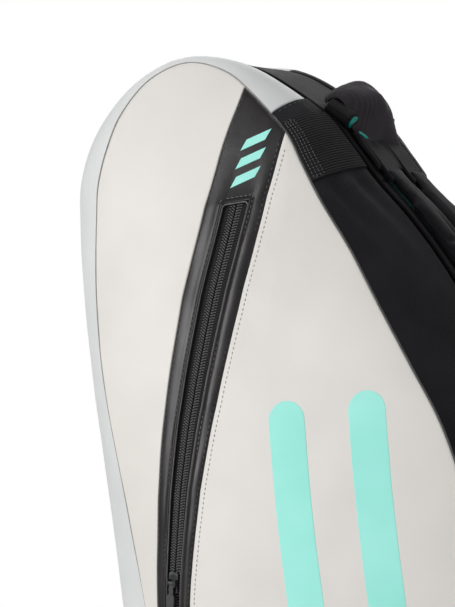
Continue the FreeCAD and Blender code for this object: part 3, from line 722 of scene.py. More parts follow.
def meet(k, low, high):
    """Where a line of the strip crosses the seam: distance round the bag, and height."""
    z = np.linspace(low, high, 160)
    centre, half = strip_at(z)
    line = np.stack([centre + k * half, z], -1)
    gap = np.linalg.norm(line[:, None] - RING[None, :-1, 2:], axis=-1)
    i, j = np.unravel_index(np.argmin(gap), gap.shape)
    return RING_S[j], z[i]


def wall_cloth(start, end, creases, step=5 * MM, count=16):
    """Cloth of the side wall from s = start to end."""
    along = start + spread(end - start, int((end - start) / step))[:, 0]
    width = wall_width(along)
    cross = spread(width, count)
    s = np.broadcast_to(along, cross.shape)
    gap = np.minimum(np.minimum(cross, width - cross), np.minimum(s - start, end - s))
    flat = on_wall(s, cross / width)
    soft = np.clip(gap / (12 * MM), 0, 1)
    pull = np.exp(-((s - S_PATCH_END) / (55 * MM)) ** 2) * np.clip((s - S_PATCH_END) / (8 * MM), 0, 1)
    pleats = np.sin(cross / width * 15.0 + (s - S_PATCH_END) / (24 * MM)) * pull
    lift = creases * soft * (ripple(flat, 0.09, 3) + 0.5 * ripple(flat, 0.035, 12) + 3.2 * pleats)
    lift = lift - rolled(gap, SEAM_ROLL)
    outer = on_wall(s, cross / width, lift)
    inner = on_wall(s, cross / width, -WALL_THICK + 0 * s)
    return slab(outer, inner, np.stack([cross, s], -1))


def panel_cloth(left, right, length, count, step=6 * MM):
    """Cloth of the side panel between two edges."""
    down = spread(length, int(length / step))[:, 0]
    a = left(down / length)
    b = right(down / length)
    width = np.maximum(np.linalg.norm(b - a, axis=-1), 0.4 * MM)
    cross = spread(width, count)
    share = (cross / width)[..., None]
    at = a * (1 - share) + b * share
    gap = np.minimum(np.minimum(cross, width - cross), np.minimum(down, length - down))
    lift = -rolled(gap, SEAM_ROLL)
    outer = on_panel(at[..., 0], at[..., 1], lift)
    inner = on_panel(at[..., 0], at[..., 1], -PANEL_THICK + 0 * lift)
    return slab(outer, inner, np.stack([cross, np.broadcast_to(down, cross.shape)], -1))


TOP_LOW, TOP_HIGH = 0.655, 0.760
FOOT_LOW, FOOT_HIGH = 0.008, 0.060
LEFT_TOP = meet(-1, TOP_LOW, TOP_HIGH)
RIGHT_TOP = meet(STRIP_RIGHT, TOP_LOW, TOP_HIGH)
LEFT_FOOT = meet(-1, FOOT_LOW, FOOT_HIGH)
RIGHT_FOOT = meet(STRIP_RIGHT, FOOT_LOW, FOOT_HIGH)
LEFT_FOOT_S = LEFT_FOOT[0] - PERIMETER * (LEFT_FOOT[0] > PERIMETER / 2)
RIGHT_FOOT_S = RIGHT_FOOT[0] - PERIMETER * (RIGHT_FOOT[0] > PERIMETER / 2)
SEAM_GAP = 0.35 * MM


def strip_cloth(window):
    """Cloth of the pocket strip, with a raised lip round the zip window if it has one."""
    near_window = [0.0, 0.007, 0.018, 0.032, 0.05, 0.07, 0.095, 0.13, 0.18]
    inside = [0.12, 0.25] + [WINDOW_SHARE + gap for gap in near_window]
    shares = [0.62, 0.67, 0.72, 0.77, 0.82, 0.86, 0.9, 0.94, 0.965, 0.98, 0.992, 1.0]
    left = [-v for v in (inside + shares)[::-1]]
    k = np.array(left + [0.0] + inside + [v * STRIP_RIGHT for v in shares[1:]])
    foot = np.array([meet(v, FOOT_LOW, FOOT_HIGH)[1] for v in k])
    top = np.array([meet(v, TOP_LOW, TOP_HIGH)[1] for v in k])
    ends = np.array([0.0, 0.01, 0.03, 0.07, 0.14, 0.3, 0.5, 0.75])
    near = np.array([0.3, 0.8, 1.4, 2.1, 3.0, 4.2]) * MM
    levels = np.concatenate([
        np.arange(0.062, WINDOW_LOW_Z - 5 * MM, 6 * MM), WINDOW_LOW_Z - near[::-1], [WINDOW_LOW_Z],
        np.arange(WINDOW_LOW_Z + 6 * MM, WINDOW_HIGH_Z - 3 * MM, 6 * MM), [WINDOW_HIGH_Z], WINDOW_HIGH_Z + near,
    ])
    rows = [foot + (levels[0] - foot) * share for share in ends]
    rows += [np.full(len(k), level) for level in levels]
    rows += [top - (top - levels[-1]) * share for share in ends[::-1]]
    z = np.array(rows)
    centre, half = strip_at(z)
    x = centre + k * half
    edge = np.where(k < 0, 1.0, STRIP_RIGHT)
    gap = np.minimum(half * (edge - np.abs(k)), np.minimum(z - foot, top - z))
    margin = np.clip((np.abs(k) - WINDOW_SHARE) / (edge - WINDOW_SHARE), 0, 1)
    near_ends = np.clip(np.minimum(z - WINDOW_LOW_Z, WINDOW_HIGH_Z - z) / (30 * MM) + 1, 0, 1)
    lift = 0.2 * MM - rolled(gap, SEAM_ROLL) + 0.9 * MM * np.sin(math.pi * margin) * near_ends
    lift = lift + 0.35 * MM * ripple(np.stack([x, 0 * x, z], -1), 0.05, 4) * np.sin(math.pi * margin)
    keep = np.ones((len(z) - 1, len(k) - 1), bool)
    if window:
        sideways = np.maximum(np.abs(k) * half - WINDOW_SHARE * half, 0)
        beyond = np.maximum(np.maximum(WINDOW_LOW_Z - z, z - WINDOW_HIGH_Z), 0)
        away = np.hypot(sideways, beyond)
        lift = lift + 1.5 * MM * np.exp(-((away - 1.3 * MM) / (1.5 * MM)) ** 2)
        lift = lift - 1.7 * MM * np.clip(1 - away / (0.8 * MM), 0, 1) ** 2
        middle_k = (k[1:] + k[:-1]) / 2
        middle_z = (z[1:, 0] + z[:-1, 0]) / 2
        inside = (middle_z > WINDOW_LOW_Z) & (middle_z < WINDOW_HIGH_Z)
        keep = ~(inside[:, None] & (np.abs(middle_k) < WINDOW_SHARE)[None, :])
    outer = on_panel(x, z, lift)
    inner = on_panel(x, z, np.minimum(lift, 0.2 * MM) - PANEL_THICK)
    return slab(outer, inner, np.stack([k * half, z], -1), keep)


def on_strip(k_at, offset=0.0):
    """Line point(z, lift) along the strip."""
    def point(z, lift):
        centre, half = strip_at(z)
        return on_panel(centre + k_at * half + offset, z, lift)
    return point


def patch_point(u, w, lift):
    """Point of the ribbed webbing patch: u runs down the handle side and w across the wall."""
    near = ring_near(78, 714) + (ring_near(106, 670) - ring_near(78, 714)) * u
    far = seam_near(62, 706) + (seam_near(86, 661) - seam_near(62, 706)) * u
    return on_wall(near + (far - near) * w, w, lift)


def webbing_patch():
    """Ribbed webbing stitched over the side wall, below the rim band's hem."""
    count_u, count_w = 150, 46
    u, w = np.meshgrid(np.linspace(0, 1, count_u), np.linspace(0.0, 0.985, count_w), indexing="ij")
    long, wide = 47 * MM, 31 * MM
    gap = np.minimum(np.minimum(u, 1 - u) * long, np.minimum(w, 1 - w) * wide)
    ribs = 0.34 * MM * np.abs(np.sin(math.pi * u * long / (1.75 * MM)))
    lift = 1.7 * MM + ribs * np.clip(gap / MM, 0, 1) - rolled(gap, 1.2 * MM)
    pinch = sum(np.exp(-(((w - at) * wide) / (0.5 * MM)) ** 2) for at in PATCH_ROWS)
    outer = patch_point(u, w, lift - 0.5 * MM * pinch)
    inner = patch_point(u, w, 0.15 * MM + 0 * u)
    return slab(outer, inner, np.stack([w * wide, u * long], -1))


PATCH_ROWS = (0.955, 0.90, 0.85, 0.79)


def patch_stitches():
    rows = []
    for at in PATCH_ROWS:
        def point(d, lift, at=at):
            return patch_point(d / (47 * MM), at + 0 * d, lift)
        rows.append(stitches(point, 1.5 * MM, 45.5 * MM, 2.6 * MM, 1.15 * MM, 0.22 * MM, 1.6 * MM))
    for at in (0.03, 0.97):
        def across(d, lift, at=at):
            return patch_point(at + 0 * d, d / (31 * MM), lift)
        rows.append(stitches(across, 1.0 * MM, 29 * MM, 2.6 * MM, 1.15 * MM, 0.18 * MM, 1.6 * MM))
    return joined(*rows)


def hem_band():
    """Folded cloth hem between the rim band and the webbing patch."""
    u, w = np.meshgrid(np.linspace(0, 1, 30), np.linspace(0.0, 0.985, 26), indexing="ij")
    near_low, near_high = ring_near(66, 726), ring_near(83, 708)
    far_low, far_high = seam_near(55, 715), seam_near(65, 702)
    near = near_low + (near_high - near_low) * u
    far = far_low + (far_high - far_low) * u
    s = near + (far - near) * w
    gap = np.minimum(np.minimum(u, 1 - u) * 27 * MM, np.minimum(w, 1 - w) * 24 * MM)
    lift = 1.1 * MM - rolled(gap, 1.0 * MM) + 0.25 * MM * ripple(on_wall(s, w), 0.02, 5)
    return slab(on_wall(s, w, lift), on_wall(s, w, 0.1 * MM + 0 * s), np.stack([w * 24 * MM, s], -1))


def hem_stitches():
    def point(d, lift):
        near = ring_near(68, 724)
        far = seam_near(57, 713)
        w = d / (24 * MM)
        return on_wall(near + (far - near) * w, w, lift)
    return stitches(point, 1 * MM, 23 * MM, 3.0 * MM, 1.1 * MM, 0.3 * MM, 1.15 * MM)


def quilted_liner():
    """Padded lining behind the side panel, stitched in diamonds."""
    left = seam_line(RIGHT_FOOT_S + 30 * MM, ring_near(42, 746) + 4 * MM, 11 * MM)
    right = seam_line(RIGHT_FOOT_S - 30 * MM, ring_near(82, 709) - PERIMETER - 34 * MM, 11 * MM)
    length = 0.70
    down = spread(length, 190)[:, 0]
    a, b = left(down / length), right(down / length)
    width = np.linalg.norm(b - a, axis=-1)
    cross = spread(width, 62)
    share = (cross / width)[..., None]
    at = a * (1 - share) + b * share
    x, z = at[..., 0], at[..., 1]
    gap = np.minimum(np.minimum(cross, width - cross), np.minimum(down, length - down))
    pitch = 58 * MM
    one = np.abs(np.mod((x + z * 0.8) / pitch, 1) - 0.5) * pitch
    two = np.abs(np.mod((x - z * 0.8) / pitch, 1) - 0.5) * pitch
    groove = np.exp(-(one / (3 * MM)) ** 2) + np.exp(-(two / (3 * MM)) ** 2)
    deep = 14.2 * MM - 1.6 * MM * np.minimum(groove, 1.2) - np.minimum(rolled(gap, 3 * MM), 3 * MM)
    outer = on_panel(x, z, -deep)
    inner = on_panel(x, z, -9.8 * MM + 0 * deep)
    return slab(outer, inner, np.stack([x, z], -1))


TOOTH_PITCH = 2.6 * MM


def zip_half(y_edge, y_line, start, end, shift):
    """Tape and coil of one half of a main zip; it lies along Y from y_edge to y_line."""
    middle = (y_edge + y_line) / 2
    half = abs(y_line - y_edge) / 2

    def point(d, across, lift):
        return on_gusset(d, middle + across, lift)
    tape = ribbon(point, start, end, half, -5.4 * MM, -4.5 * MM, 0.3 * MM, 6 * MM, 3)
    inward = 1 if y_edge > y_line else -1

    def coil_line(d, lift):
        return on_gusset(d, y_line + inward * 0.9 * MM, lift - 3.8 * MM)
    at = np.arange(start + 3 * MM + shift, end - 3 * MM, TOOTH_PITCH)
    place, along, out, side = frames(coil_line, at)
    teeth = beads(place, side, out, along, 1.7 * MM, 0.95 * MM, 0.62 * MM)
    return tape, teeth


def cover_stripe(x_centre, half, low, high):
    """Thin printed stripe with round ends on the side panel."""
    def point(d, across, lift):
        return on_panel(x_centre + across, d, lift)

    def wide(d):
        end = np.minimum(np.minimum(d - low, high - d), half)
        return np.maximum(np.sqrt(np.maximum(half**2 - (half - end) ** 2, 0)), 0.3 * MM)
    return ribbon(point, low, high, wide, 0.02 * MM, 0.2 * MM, 0.15 * MM, 3 * MM, 12)


def strip_mark(z_low):
    """Small slanted printed bar on the strip."""
    def point(d, across, lift):
        centre = strip_at(d)[0]
        return on_panel(centre + across + (d - z_low) * 0.32, d + across * 0.28, lift + 0.2 * MM)
    return ribbon(point, z_low, z_low + 7.5 * MM, 9.5 * MM, 0.02 * MM, 0.16 * MM, 0.1 * MM, 1.5 * MM, 6)


def build_shell(name, side):
    body = f"{name}_shell"
    ring_end = PERIMETER + S_BASE_LEFT
    s_hem = S_HEM if side > 0 else S_REAR_HEM

    def add(piece, data, material, slot, *nodes):
        return add_piece(f"{name}_{piece}", body, data, material, [f"{name}_{n}" for n in nodes], side)

    add("rim_cloth", wall_cloth(S_BASE_LEFT, s_hem, 0.35 * MM), RIM, "rim_light", "rim_band")
    add("handle_cloth", wall_cloth(s_hem, ring_end, 0.75 * MM), BAND, "band_black", "handle_band")
    add("webbing_wrap", webbing_patch(), WEBBING, "webbing_black", "webbing_patch")
    add("webbing_stitches", patch_stitches(), THREAD_MID, "webbing_black")
    if side > 0:
        add("rim_hem", hem_band(), BAND, "band_black")
        add("hem_stitches", hem_stitches(), THREAD_DARK, "band_black")
    left = panel_cloth(seam_line(LEFT_FOOT_S, LEFT_TOP[0], SEAM_GAP),
                       strip_line(-1.0, LEFT_FOOT[1], LEFT_TOP[1]), 0.74, 26)
    add("left_cloth", left, LIGHT, "coated_light", "left_panel")
    right = panel_cloth(strip_line(STRIP_RIGHT, RIGHT_FOOT[1], RIGHT_TOP[1]),
                        seam_line(RIGHT_FOOT_S, RIGHT_TOP[0] - PERIMETER, SEAM_GAP), 0.70, 44)
    add("right_cloth", right, LIGHT, "coated_light", "right_panel")
    add("strip_cloth", strip_cloth(side > 0), SKIN, "strip_black", "cross_strip")
    cords = [tube(lambda s, lift: seam_point(s, lift - 0.75 * MM), start, end, radius, 4 * MM, 8)
             for start, end, radius in ((s_hem, ring_end, 0.85 * MM), (S_BASE_LEFT, s_hem, 0.6 * MM))]
    add("seam_cord", cords[0], THREAD_DARK, "strip_black")
    add("rim_seam_cord", cords[1], CORD_PALE, "rim_light")
    row = stitches(on_strip(STRIP_RIGHT, 4.2 * MM), RIGHT_FOOT[1] + 8 * MM, RIGHT_TOP[1] - 12 * MM,
                   3.3 * MM, 1.05 * MM, 0.34 * MM, 0.05 * MM)
    add("panel_stitches", row, THREAD_GREY, "coated_light")
    sides = [stitches(on_strip(k), 0.03, top - 8 * MM, 4.2 * MM, 1.35 * MM, 0.3 * MM, 0.3 * MM)
             for k, top in ((-0.93, LEFT_TOP[1]), (STRIP_RIGHT - 0.07, RIGHT_TOP[1]))]
    add("strip_stitches", joined(*sides), THREAD_DARK, "strip_black")
    stripes = joined(cover_stripe(58.5 * MM, 13.4 * MM, 0.118, 0.509),
                     cover_stripe(117.5 * MM, 13.4 * MM, 0.118, 0.509))
    add("print_stripes", stripes, MINT, "coated_light")
    add("print_marks", joined(*[strip_mark(z * MM) for z in (668, 681, 694)]), MINT, "strip_black")
    add("quilted_liner", quilted_liner(), LINING, "lining_grey", "foam_panel")
    tape, teeth = zip_half(-ZIP_PLANE, -ZIP_LINE - 0.15 * MM, S_ZIP_START, S_ZIP_END, 0.0)
    add("zip_half_tape", tape, TAPE, "zip_black", "zip_tape")
    add("zip_half_coil", teeth, MAIN_COIL, "coil_black", "zip_coil")


# ------------------------------------------------------------------ the front shell's zipped pocket
def pocket_line(offset, depth):
    def point(z, lift):
        return on_panel(strip_at(z)[0] + offset, z, lift - depth)
    return point


def pocket_tape(side):
    """One half of the pocket zip's tape; the two halves meet at the middle line."""
    def point(d, across, lift):
        centre, half = strip_at(d)
        reach = half * 0.58 / 2
        return on_panel(centre + side * (0.25 * MM + reach) + across, d, lift)
    return ribbon(point, WINDOW_LOW_Z - 6 * MM, WINDOW_HIGH_Z + 6 * MM,
                  lambda d: strip_at(d)[1] * 0.58 / 2, -2.5 * MM, -1.3 * MM, 0.4 * MM, 3 * MM, 8)


def herringbone():
    """Slanted coil ridges on both sides of the pocket zip's middle line."""
    rows = []
    for side in (-1, 1):
        at = np.arange(WINDOW_LOW_Z + 1 * MM, WINDOW_HIGH_Z - 1 * MM, 1.9 * MM)
        place, along, out, across = frames(pocket_line(side * 1.9 * MM, 1.15 * MM), at)
        slant = across * side * 0.86 + along * 0.5
        slant /= np.linalg.norm(slant, axis=-1)[:, None]
        rows.append(beads(place, slant, out, np.cross(slant, out), 1.7 * MM, 0.55 * MM, 0.5 * MM))
        place, along, out, across = frames(pocket_line(side * 4.1 * MM, 1.1 * MM), at)
        rows.append(beads(place, across, out, along, 0.8 * MM, 0.45 * MM, 0.5 * MM))
    return joined(*rows)


def window_lip():
    """Thin glossy cord round the zip window, with rounded corners."""
    corner = 3.0 * MM
    level = np.linspace(WINDOW_LOW_Z + corner, WINDOW_HIGH_Z - corner, 90)
    reach = (WINDOW_SHARE + 0.02) * strip_at(level)[1]
    middle = strip_at(level)[0]
    turn = np.linspace(0, math.pi / 2, 7)[1:-1]
    x_right, x_left = middle + reach, middle - reach
    top_turn = np.stack([x_right[-1] - corner + corner * np.cos(turn), level[-1] + corner * np.sin(turn)], -1)
    top_back = np.stack([x_left[-1] + corner - corner * np.sin(turn), level[-1] + corner * np.cos(turn)], -1)
    low_turn = np.stack([x_left[0] + corner - corner * np.cos(turn), level[0] - corner * np.sin(turn)], -1)
    low_back = np.stack([x_right[0] - corner + corner * np.sin(turn), level[0] - corner * np.cos(turn)], -1)
    path = np.concatenate([
        np.stack([x_right, level], -1), top_turn, top_back, np.stack([x_left, level], -1)[::-1], low_turn, low_back,
    ])
    path = np.concatenate([path, path[:1]])
    length = np.concatenate([[0], np.cumsum(np.linalg.norm(np.diff(path, axis=0), axis=1))])

    def point(d, lift):
        x, z = (np.interp(d, length, path[:, k]) for k in range(2))
        return on_panel(x, z, lift + 0.8 * MM)
    return tube(point, 0.0, length[-1], 0.62 * MM, 1.5 * MM, 8)


def build_pocket():
    body = "front_shell"
    tapes = joined(pocket_tape(-1), pocket_tape(1))
    add_piece("pocket_tape_cloth", body, tapes, TAPE, ["pocket_zip_tape"])
    add_piece("pocket_coil_teeth", body, herringbone(), COIL, ["pocket_zip_coil"])
    pouch = panel_cloth(strip_line(-0.9, 0.17, 0.636), lambda b: strip_line(1.0, 0.17, 0.56)(b) + (66 * MM, 0), 0.47, 24)
    points = pouch[0] + (0, 5.2 * MM, 0)
    add_piece("pocket_inner_cloth", body, (points, pouch[1], pouch[2]), LINING, ["pocket_pouch"])
    rows = []
    for side in (-1, 1):
        def beside(z, lift, side=side):
            centre, half = strip_at(z)
            return on_panel(centre + side * (WINDOW_SHARE * half + 2.9 * MM), z, lift)
        rows.append(stitches(beside, WINDOW_LOW_Z - 3 * MM, WINDOW_HIGH_Z + 3 * MM, 3.6 * MM, 1.2 * MM,
                             0.36 * MM, 0.95 * MM))
    for level in (WINDOW_LOW_Z - 4.2 * MM, WINDOW_HIGH_Z + 4.2 * MM):
        def ends(d, lift, level=level):
            return on_panel(strip_at(level + 0 * d)[0] + d, level + 0 * d, lift)
        reach = strip_at(np.array([level]))[1][0] * WINDOW_SHARE
        rows.append(stitches(ends, -reach, reach, 3.4 * MM, 1.2 * MM, 0.3 * MM, 0.35 * MM))
    add_piece("window_stitches", body, joined(*rows), THREAD_MID)
    add_piece("window_lip", body, window_lip(), LIP)


# ------------------------------------------------------------------ soft pads
SWELL_FRAMES = 20


def evaluated(piece):
    """A copy of a piece's mesh with its modifiers applied."""
    return bpy.data.meshes.new_from_object(piece.evaluated_get(bpy.context.evaluated_depsgraph_get()))


def coordinates(mesh):
    found = np.zeros(len(mesh.vertices) * 3)
    mesh.vertices.foreach_get("co", found)
    return found.reshape(-1, 3)


def inflate(data, voxel, pressure, cap):
    """Swells a closed pad with a cloth simulation, no point moving further than cap."""
    mesh = bpy.data.meshes.new("pad_start")
    mesh.from_pydata(data[0].tolist(), [], data[1])
    piece = bpy.data.objects.new("pad_start", mesh)
    bpy.context.scene.collection.objects.link(piece)
    remesh = piece.modifiers.new("Remesh", "REMESH")
    remesh.mode = "VOXEL"
    remesh.voxel_size = voxel
    piece.data = evaluated(piece)
    piece.modifiers.clear()
    rest = coordinates(piece.data)
    cloth = piece.modifiers.new("Cloth", "CLOTH")
    cloth.settings.quality = 4
    cloth.settings.mass = 0.2
    cloth.settings.use_pressure = True
    cloth.settings.uniform_pressure_force = pressure
    cloth.settings.effector_weights.gravity = 0
    cloth.point_cache.frame_end = SWELL_FRAMES
    for number in range(1, SWELL_FRAMES + 1):
        bpy.context.scene.frame_set(number)
    swollen = coordinates(evaluated(piece))
    piece.modifiers.clear()
    bpy.context.scene.frame_set(1)
    move = swollen - rest
    far = np.linalg.norm(move, axis=1)
    move *= np.minimum(1, cap / np.maximum(far, 1e-9))[:, None]
    piece.data.vertices.foreach_set("co", (rest + move).ravel())
    smooth = piece.modifiers.new("Smooth", "SMOOTH")
    smooth.iterations = 2
    finer = piece.modifiers.new("Finer", "SUBSURF")
    finer.levels = 1
    final = evaluated(piece)
    points = coordinates(final)
    faces = [tuple(face.vertices) for face in final.polygons]
    bpy.data.objects.remove(piece)
    return points, faces, np.zeros((len(points), 2))


# ------------------------------------------------------------------ the middle of the bag
GUSSET_THICK = 3.0 * MM


def gusset_cloth(start, end, creases=0.5 * MM):
    def point(d, across, lift):
        soft = np.clip((TAPE_EDGE - np.abs(across)) / (10 * MM), 0, 1)
        flat = on_gusset(d, across)
        return on_gusset(d, across, lift + creases * soft * (ripple(flat, 0.07, 9) - 0.6))
    return ribbon(point, start, end, TAPE_EDGE, -GUSSET_THICK, 0.0, 1.4 * MM, 5 * MM, 14)


def divider_board():
    """Padded divider: flat, quilted across, with a soft rounded edge."""
    top = int(np.argmax(RING[:-1, 1]))
    inset = RING[:-1, :2] - outward(RING_S[:-1])[:, [0, 2]] * 12.5 * MM
    low = int(np.argmin(np.abs(RING_S - S_UNDERSIDE_LOW)))
    high = int(np.argmin(np.abs(RING_S - S_CORNER)))
    z = 0.0185 + spread(inset[top, 1] - 0.0185 - 0.4 * MM, 150)[:, 0]
    corner_z = np.concatenate([[0.0], [0.017, 0.03], inset[low:top, 1]])
    corner_x = np.concatenate([[-0.09], [-0.09, -0.112], inset[low:top, 0]])
    left = np.interp(z, corner_z, corner_x)
    corner_z = np.concatenate([[0.0], [0.017, 0.03], inset[top:high, 1][::-1]])
    corner_x = np.concatenate([[0.088], [0.088, 0.106], inset[top:high, 0][::-1]])
    right = np.interp(z, corner_z, corner_x)
    cross = spread(right - left, 40)
    rows = np.broadcast_to(z, cross.shape)
    x = left + cross
    gap = np.minimum(np.minimum(cross, right - left - cross), np.minimum(rows - z[0], z[-1] - rows))
    groove = np.exp(-((np.mod(rows / (60 * MM), 1) - 0.5) * 60 / 3) ** 2)
    half = 2.9 * MM - np.minimum(rolled(gap, 2.6 * MM), 2.5 * MM) - 0.9 * MM * groove
    outer = np.stack([x, -half, rows], -1)
    inner = np.stack([x, half, rows], -1)
    return slab(outer, inner, np.stack([x, rows], -1))


def net_pocket():
    """Net pocket on the divider, with a bound edge all round."""
    y = -3.9 * MM
    x_low, x_high, z_low, z_high = -0.078, 0.118, 0.182, 0.426
    parts = []
    pitch = 8.5 * MM
    reach = z_high - z_low
    for slope in (1, -1):
        for start in np.arange(x_low - reach, x_high + reach, pitch):
            z_a, z_b = z_low, z_high
            x_a, x_b = start, start + slope * reach
            ends = []
            for t in np.linspace(0, 1, 400):
                x = x_a + (x_b - x_a) * t
                if x_low <= x <= x_high:
                    ends.append(t)
            if len(ends) < 8:
                continue
            def thread(t, lift, x_a=x_a, x_b=x_b, slope=slope):
                return np.stack([x_a + (x_b - x_a) * t, y - lift + 0 * t + slope * 0.15 * MM,
                                 z_low + reach * t], -1)
            parts.append(tube(thread, ends[0], ends[-1], 0.42 * MM, 0.2, 5))
    corners = [(x_low, z_low), (x_high, z_low), (x_high, z_high), (x_low, z_high)]
    for (xa, za), (xb, zb) in zip(corners, corners[1:] + corners[:1]):
        long = math.hypot(xb - xa, zb - za)

        def binding(d, lift, xa=xa, za=za, xb=xb, zb=zb, long=long):
            return np.stack([xa + (xb - xa) * d / long, y - lift, za + (zb - za) * d / long], -1)
        parts.append(tube(binding, -2 * MM, long + 2 * MM, 1.0 * MM, 20 * MM, 8))
    return joined(*parts)


STRAP_Y = -20.5 * MM
WEB_HALF = 12.0 * MM
STRAP_TOP_Z = 664.0
WEB_LOW_S = handle_side(94.0)


def strap_point(d, across, lift):
    return on_gusset(d, STRAP_Y + across, lift)


def hinge_cloth():
    """Cloth hinge between the middle gusset and a side shell, with a soft pleat."""
    def point(d, across, lift):
        share = (across + 5.0 * MM) / (10 * MM)
        dip = -1.6 * MM * np.sin(math.pi * np.clip(share, 0, 1))
        return on_gusset(d, -46.7 * MM + across, lift + dip)
    return ribbon(point, 2 * MM, S_ZIP_START - 2 * MM, 5.6 * MM, -1.8 * MM, -0.3 * MM, 0.5 * MM, 6 * MM, 10)


def build_core():
    wrap = PERIMETER + S_UNDERSIDE_LOW
    seams = [
        ("underside_cloth", "underside_gusset", S_UNDERSIDE_LOW, S_UNDERSIDE_HIGH),
        ("head_end_cloth", "head_end_gusset", S_UNDERSIDE_HIGH, S_SHOULDER),
        ("handle_side_cloth", "handle_side_gusset", S_SHOULDER, S_CORNER),
        ("base_cloth", "base_gusset", S_CORNER, wrap),
    ]
    for piece, node, start, end in seams:
        add_piece(piece, "root", gusset_cloth(start + 0.2 * MM, end - 0.2 * MM), BAND, [node])
    add_piece("divider_pad", "root", divider_board(), LINING, ["centre_divider"])
    add_piece("net_pocket", "root", net_pocket(), NET, ["mesh_pocket"])
    tapes, coils = [], []
    for side in (1, -1):
        tape, teeth = zip_half(-TAPE_EDGE, -ZIP_LINE + 0.15 * MM, S_ZIP_START, S_ZIP_END, TOOTH_PITCH / 2)
        tapes.append((tape[0] * (1, side, 1), tape[1], tape[2]))
        coils.append((teeth[0] * (1, side, 1), teeth[1], teeth[2]))
    add_piece("core_zip_tapes", "root", joined(*tapes), TAPE, ["main_zip_tapes"])
    add_piece("core_zip_coils", "root", joined(*coils), MAIN_COIL, ["main_zip_coils"])
    for name, side in SIDES:
        x = UNDERSIDE_X * MM
        across = ("root", f"{name}_shell", (x, -side * 42.2 * MM, 0.385), (x, -side * 51.2 * MM, 0.385))
        add_piece(f"{name}_hinge_cloth", across, hinge_cloth(), BAND, [f"{name}_hinge_strip"], side)
    anchors, tabs, rows = [], [], []
    top = handle_side(STRAP_TOP_Z + 3)
    for side in (1, -1):
        ribs = lambda d, across: 0.3 * MM * np.abs(np.sin(math.pi * d / (1.75 * MM)))
        anchor = ribbon(strap_point, top - 37 * MM, top, WEB_HALF, 0.2 * MM, 2.0 * MM, 0.8 * MM, 0.45 * MM, 8, ribs)
        anchors.append((anchor[0] * (1, side, 1), anchor[1], anchor[2]))
        tab = ribbon(strap_point, WEB_LOW_S + 27 * MM, WEB_LOW_S + 56 * MM, 10.5 * MM, 0.2 * MM, 2.6 * MM,
                     0.8 * MM, 1.5 * MM, 8)
        ring_s = WEB_LOW_S + 29 * MM
        loop = tube(lambda d, lift: on_gusset(ring_s + 0 * d, STRAP_Y + d, lift + 4.4 * MM),
                    -10 * MM, 10 * MM, 3.7 * MM, 2 * MM, 16)
        for part in (tab, loop):
            tabs.append((part[0] * (1, side, 1), part[1], part[2]))
        for at in (38, 52):
            row = stitches(lambda d, lift: on_gusset(WEB_LOW_S + at * MM + 0 * d, STRAP_Y + d, lift),
                           -9 * MM, 9 * MM, 2.6 * MM, 1.0 * MM, 0.3 * MM, 2.65 * MM)
            rows.append((row[0] * (1, side, 1), row[1], row[2]))
    add_piece("anchor_webbing", "root", joined(*anchors), WEBBING, ["strap_anchors"])
    add_piece("tab_webbing", "root", joined(*tabs), WEBBING, ["ring_tabs"])
    add_piece("tab_stitches", "root", joined(*rows), THREAD_MID)


# ------------------------------------------------------------------ shoulder straps
PAD_TOP_S = handle_side(668.0)
PAD_LOW_S = handle_side(190.0)
PAD_LOW_LIFT, PAD_HIGH_LIFT = 1.8 * MM, 9.6 * MM


def pad_half(d):
    """Half width of a shoulder pad: narrow at both ends."""
    top = np.clip((d - PAD_TOP_S) / (90 * MM), 0, 1)
    low = np.clip((PAD_LOW_S - d) / (50 * MM), 0, 1)
    return 15.5 * MM + 3.0 * MM * np.sin(top * math.pi / 2) * np.sin(low * math.pi / 2)


def quilt_pad(data):
    """Presses stitched channels across the outside of a shoulder pad."""
    points, faces, uv = data
    low = int(np.argmin(np.abs(RING_S - handle_side(700))))
    high = int(np.argmin(np.abs(RING_S - handle_side(150))))
    s = np.interp(points[:, 2], RING[low:high, 1][::-1], RING_S[low:high][::-1])
    out = outward(s)
    height = np.sum((points - on_gusset(s, points[:, 1])) * out, -1)
    outside = np.clip((height - 6 * MM) / (4 * MM), 0, 1)
    phase = np.mod((s - PAD_TOP_S - 70 * MM) / (92 * MM) + 0.5, 1) - 0.5
    press = np.exp(-(phase * 92 / 2.6) ** 2) + 0.8 * np.exp(-((points[:, 1] - STRAP_Y) / (2.2 * MM)) ** 2)
    fade = np.clip((s - PAD_TOP_S - 40 * MM) / (20 * MM), 0, 1)
    return points - out * (1.9 * MM * np.minimum(press, 1.1) * outside * fade)[:, None], faces, uv


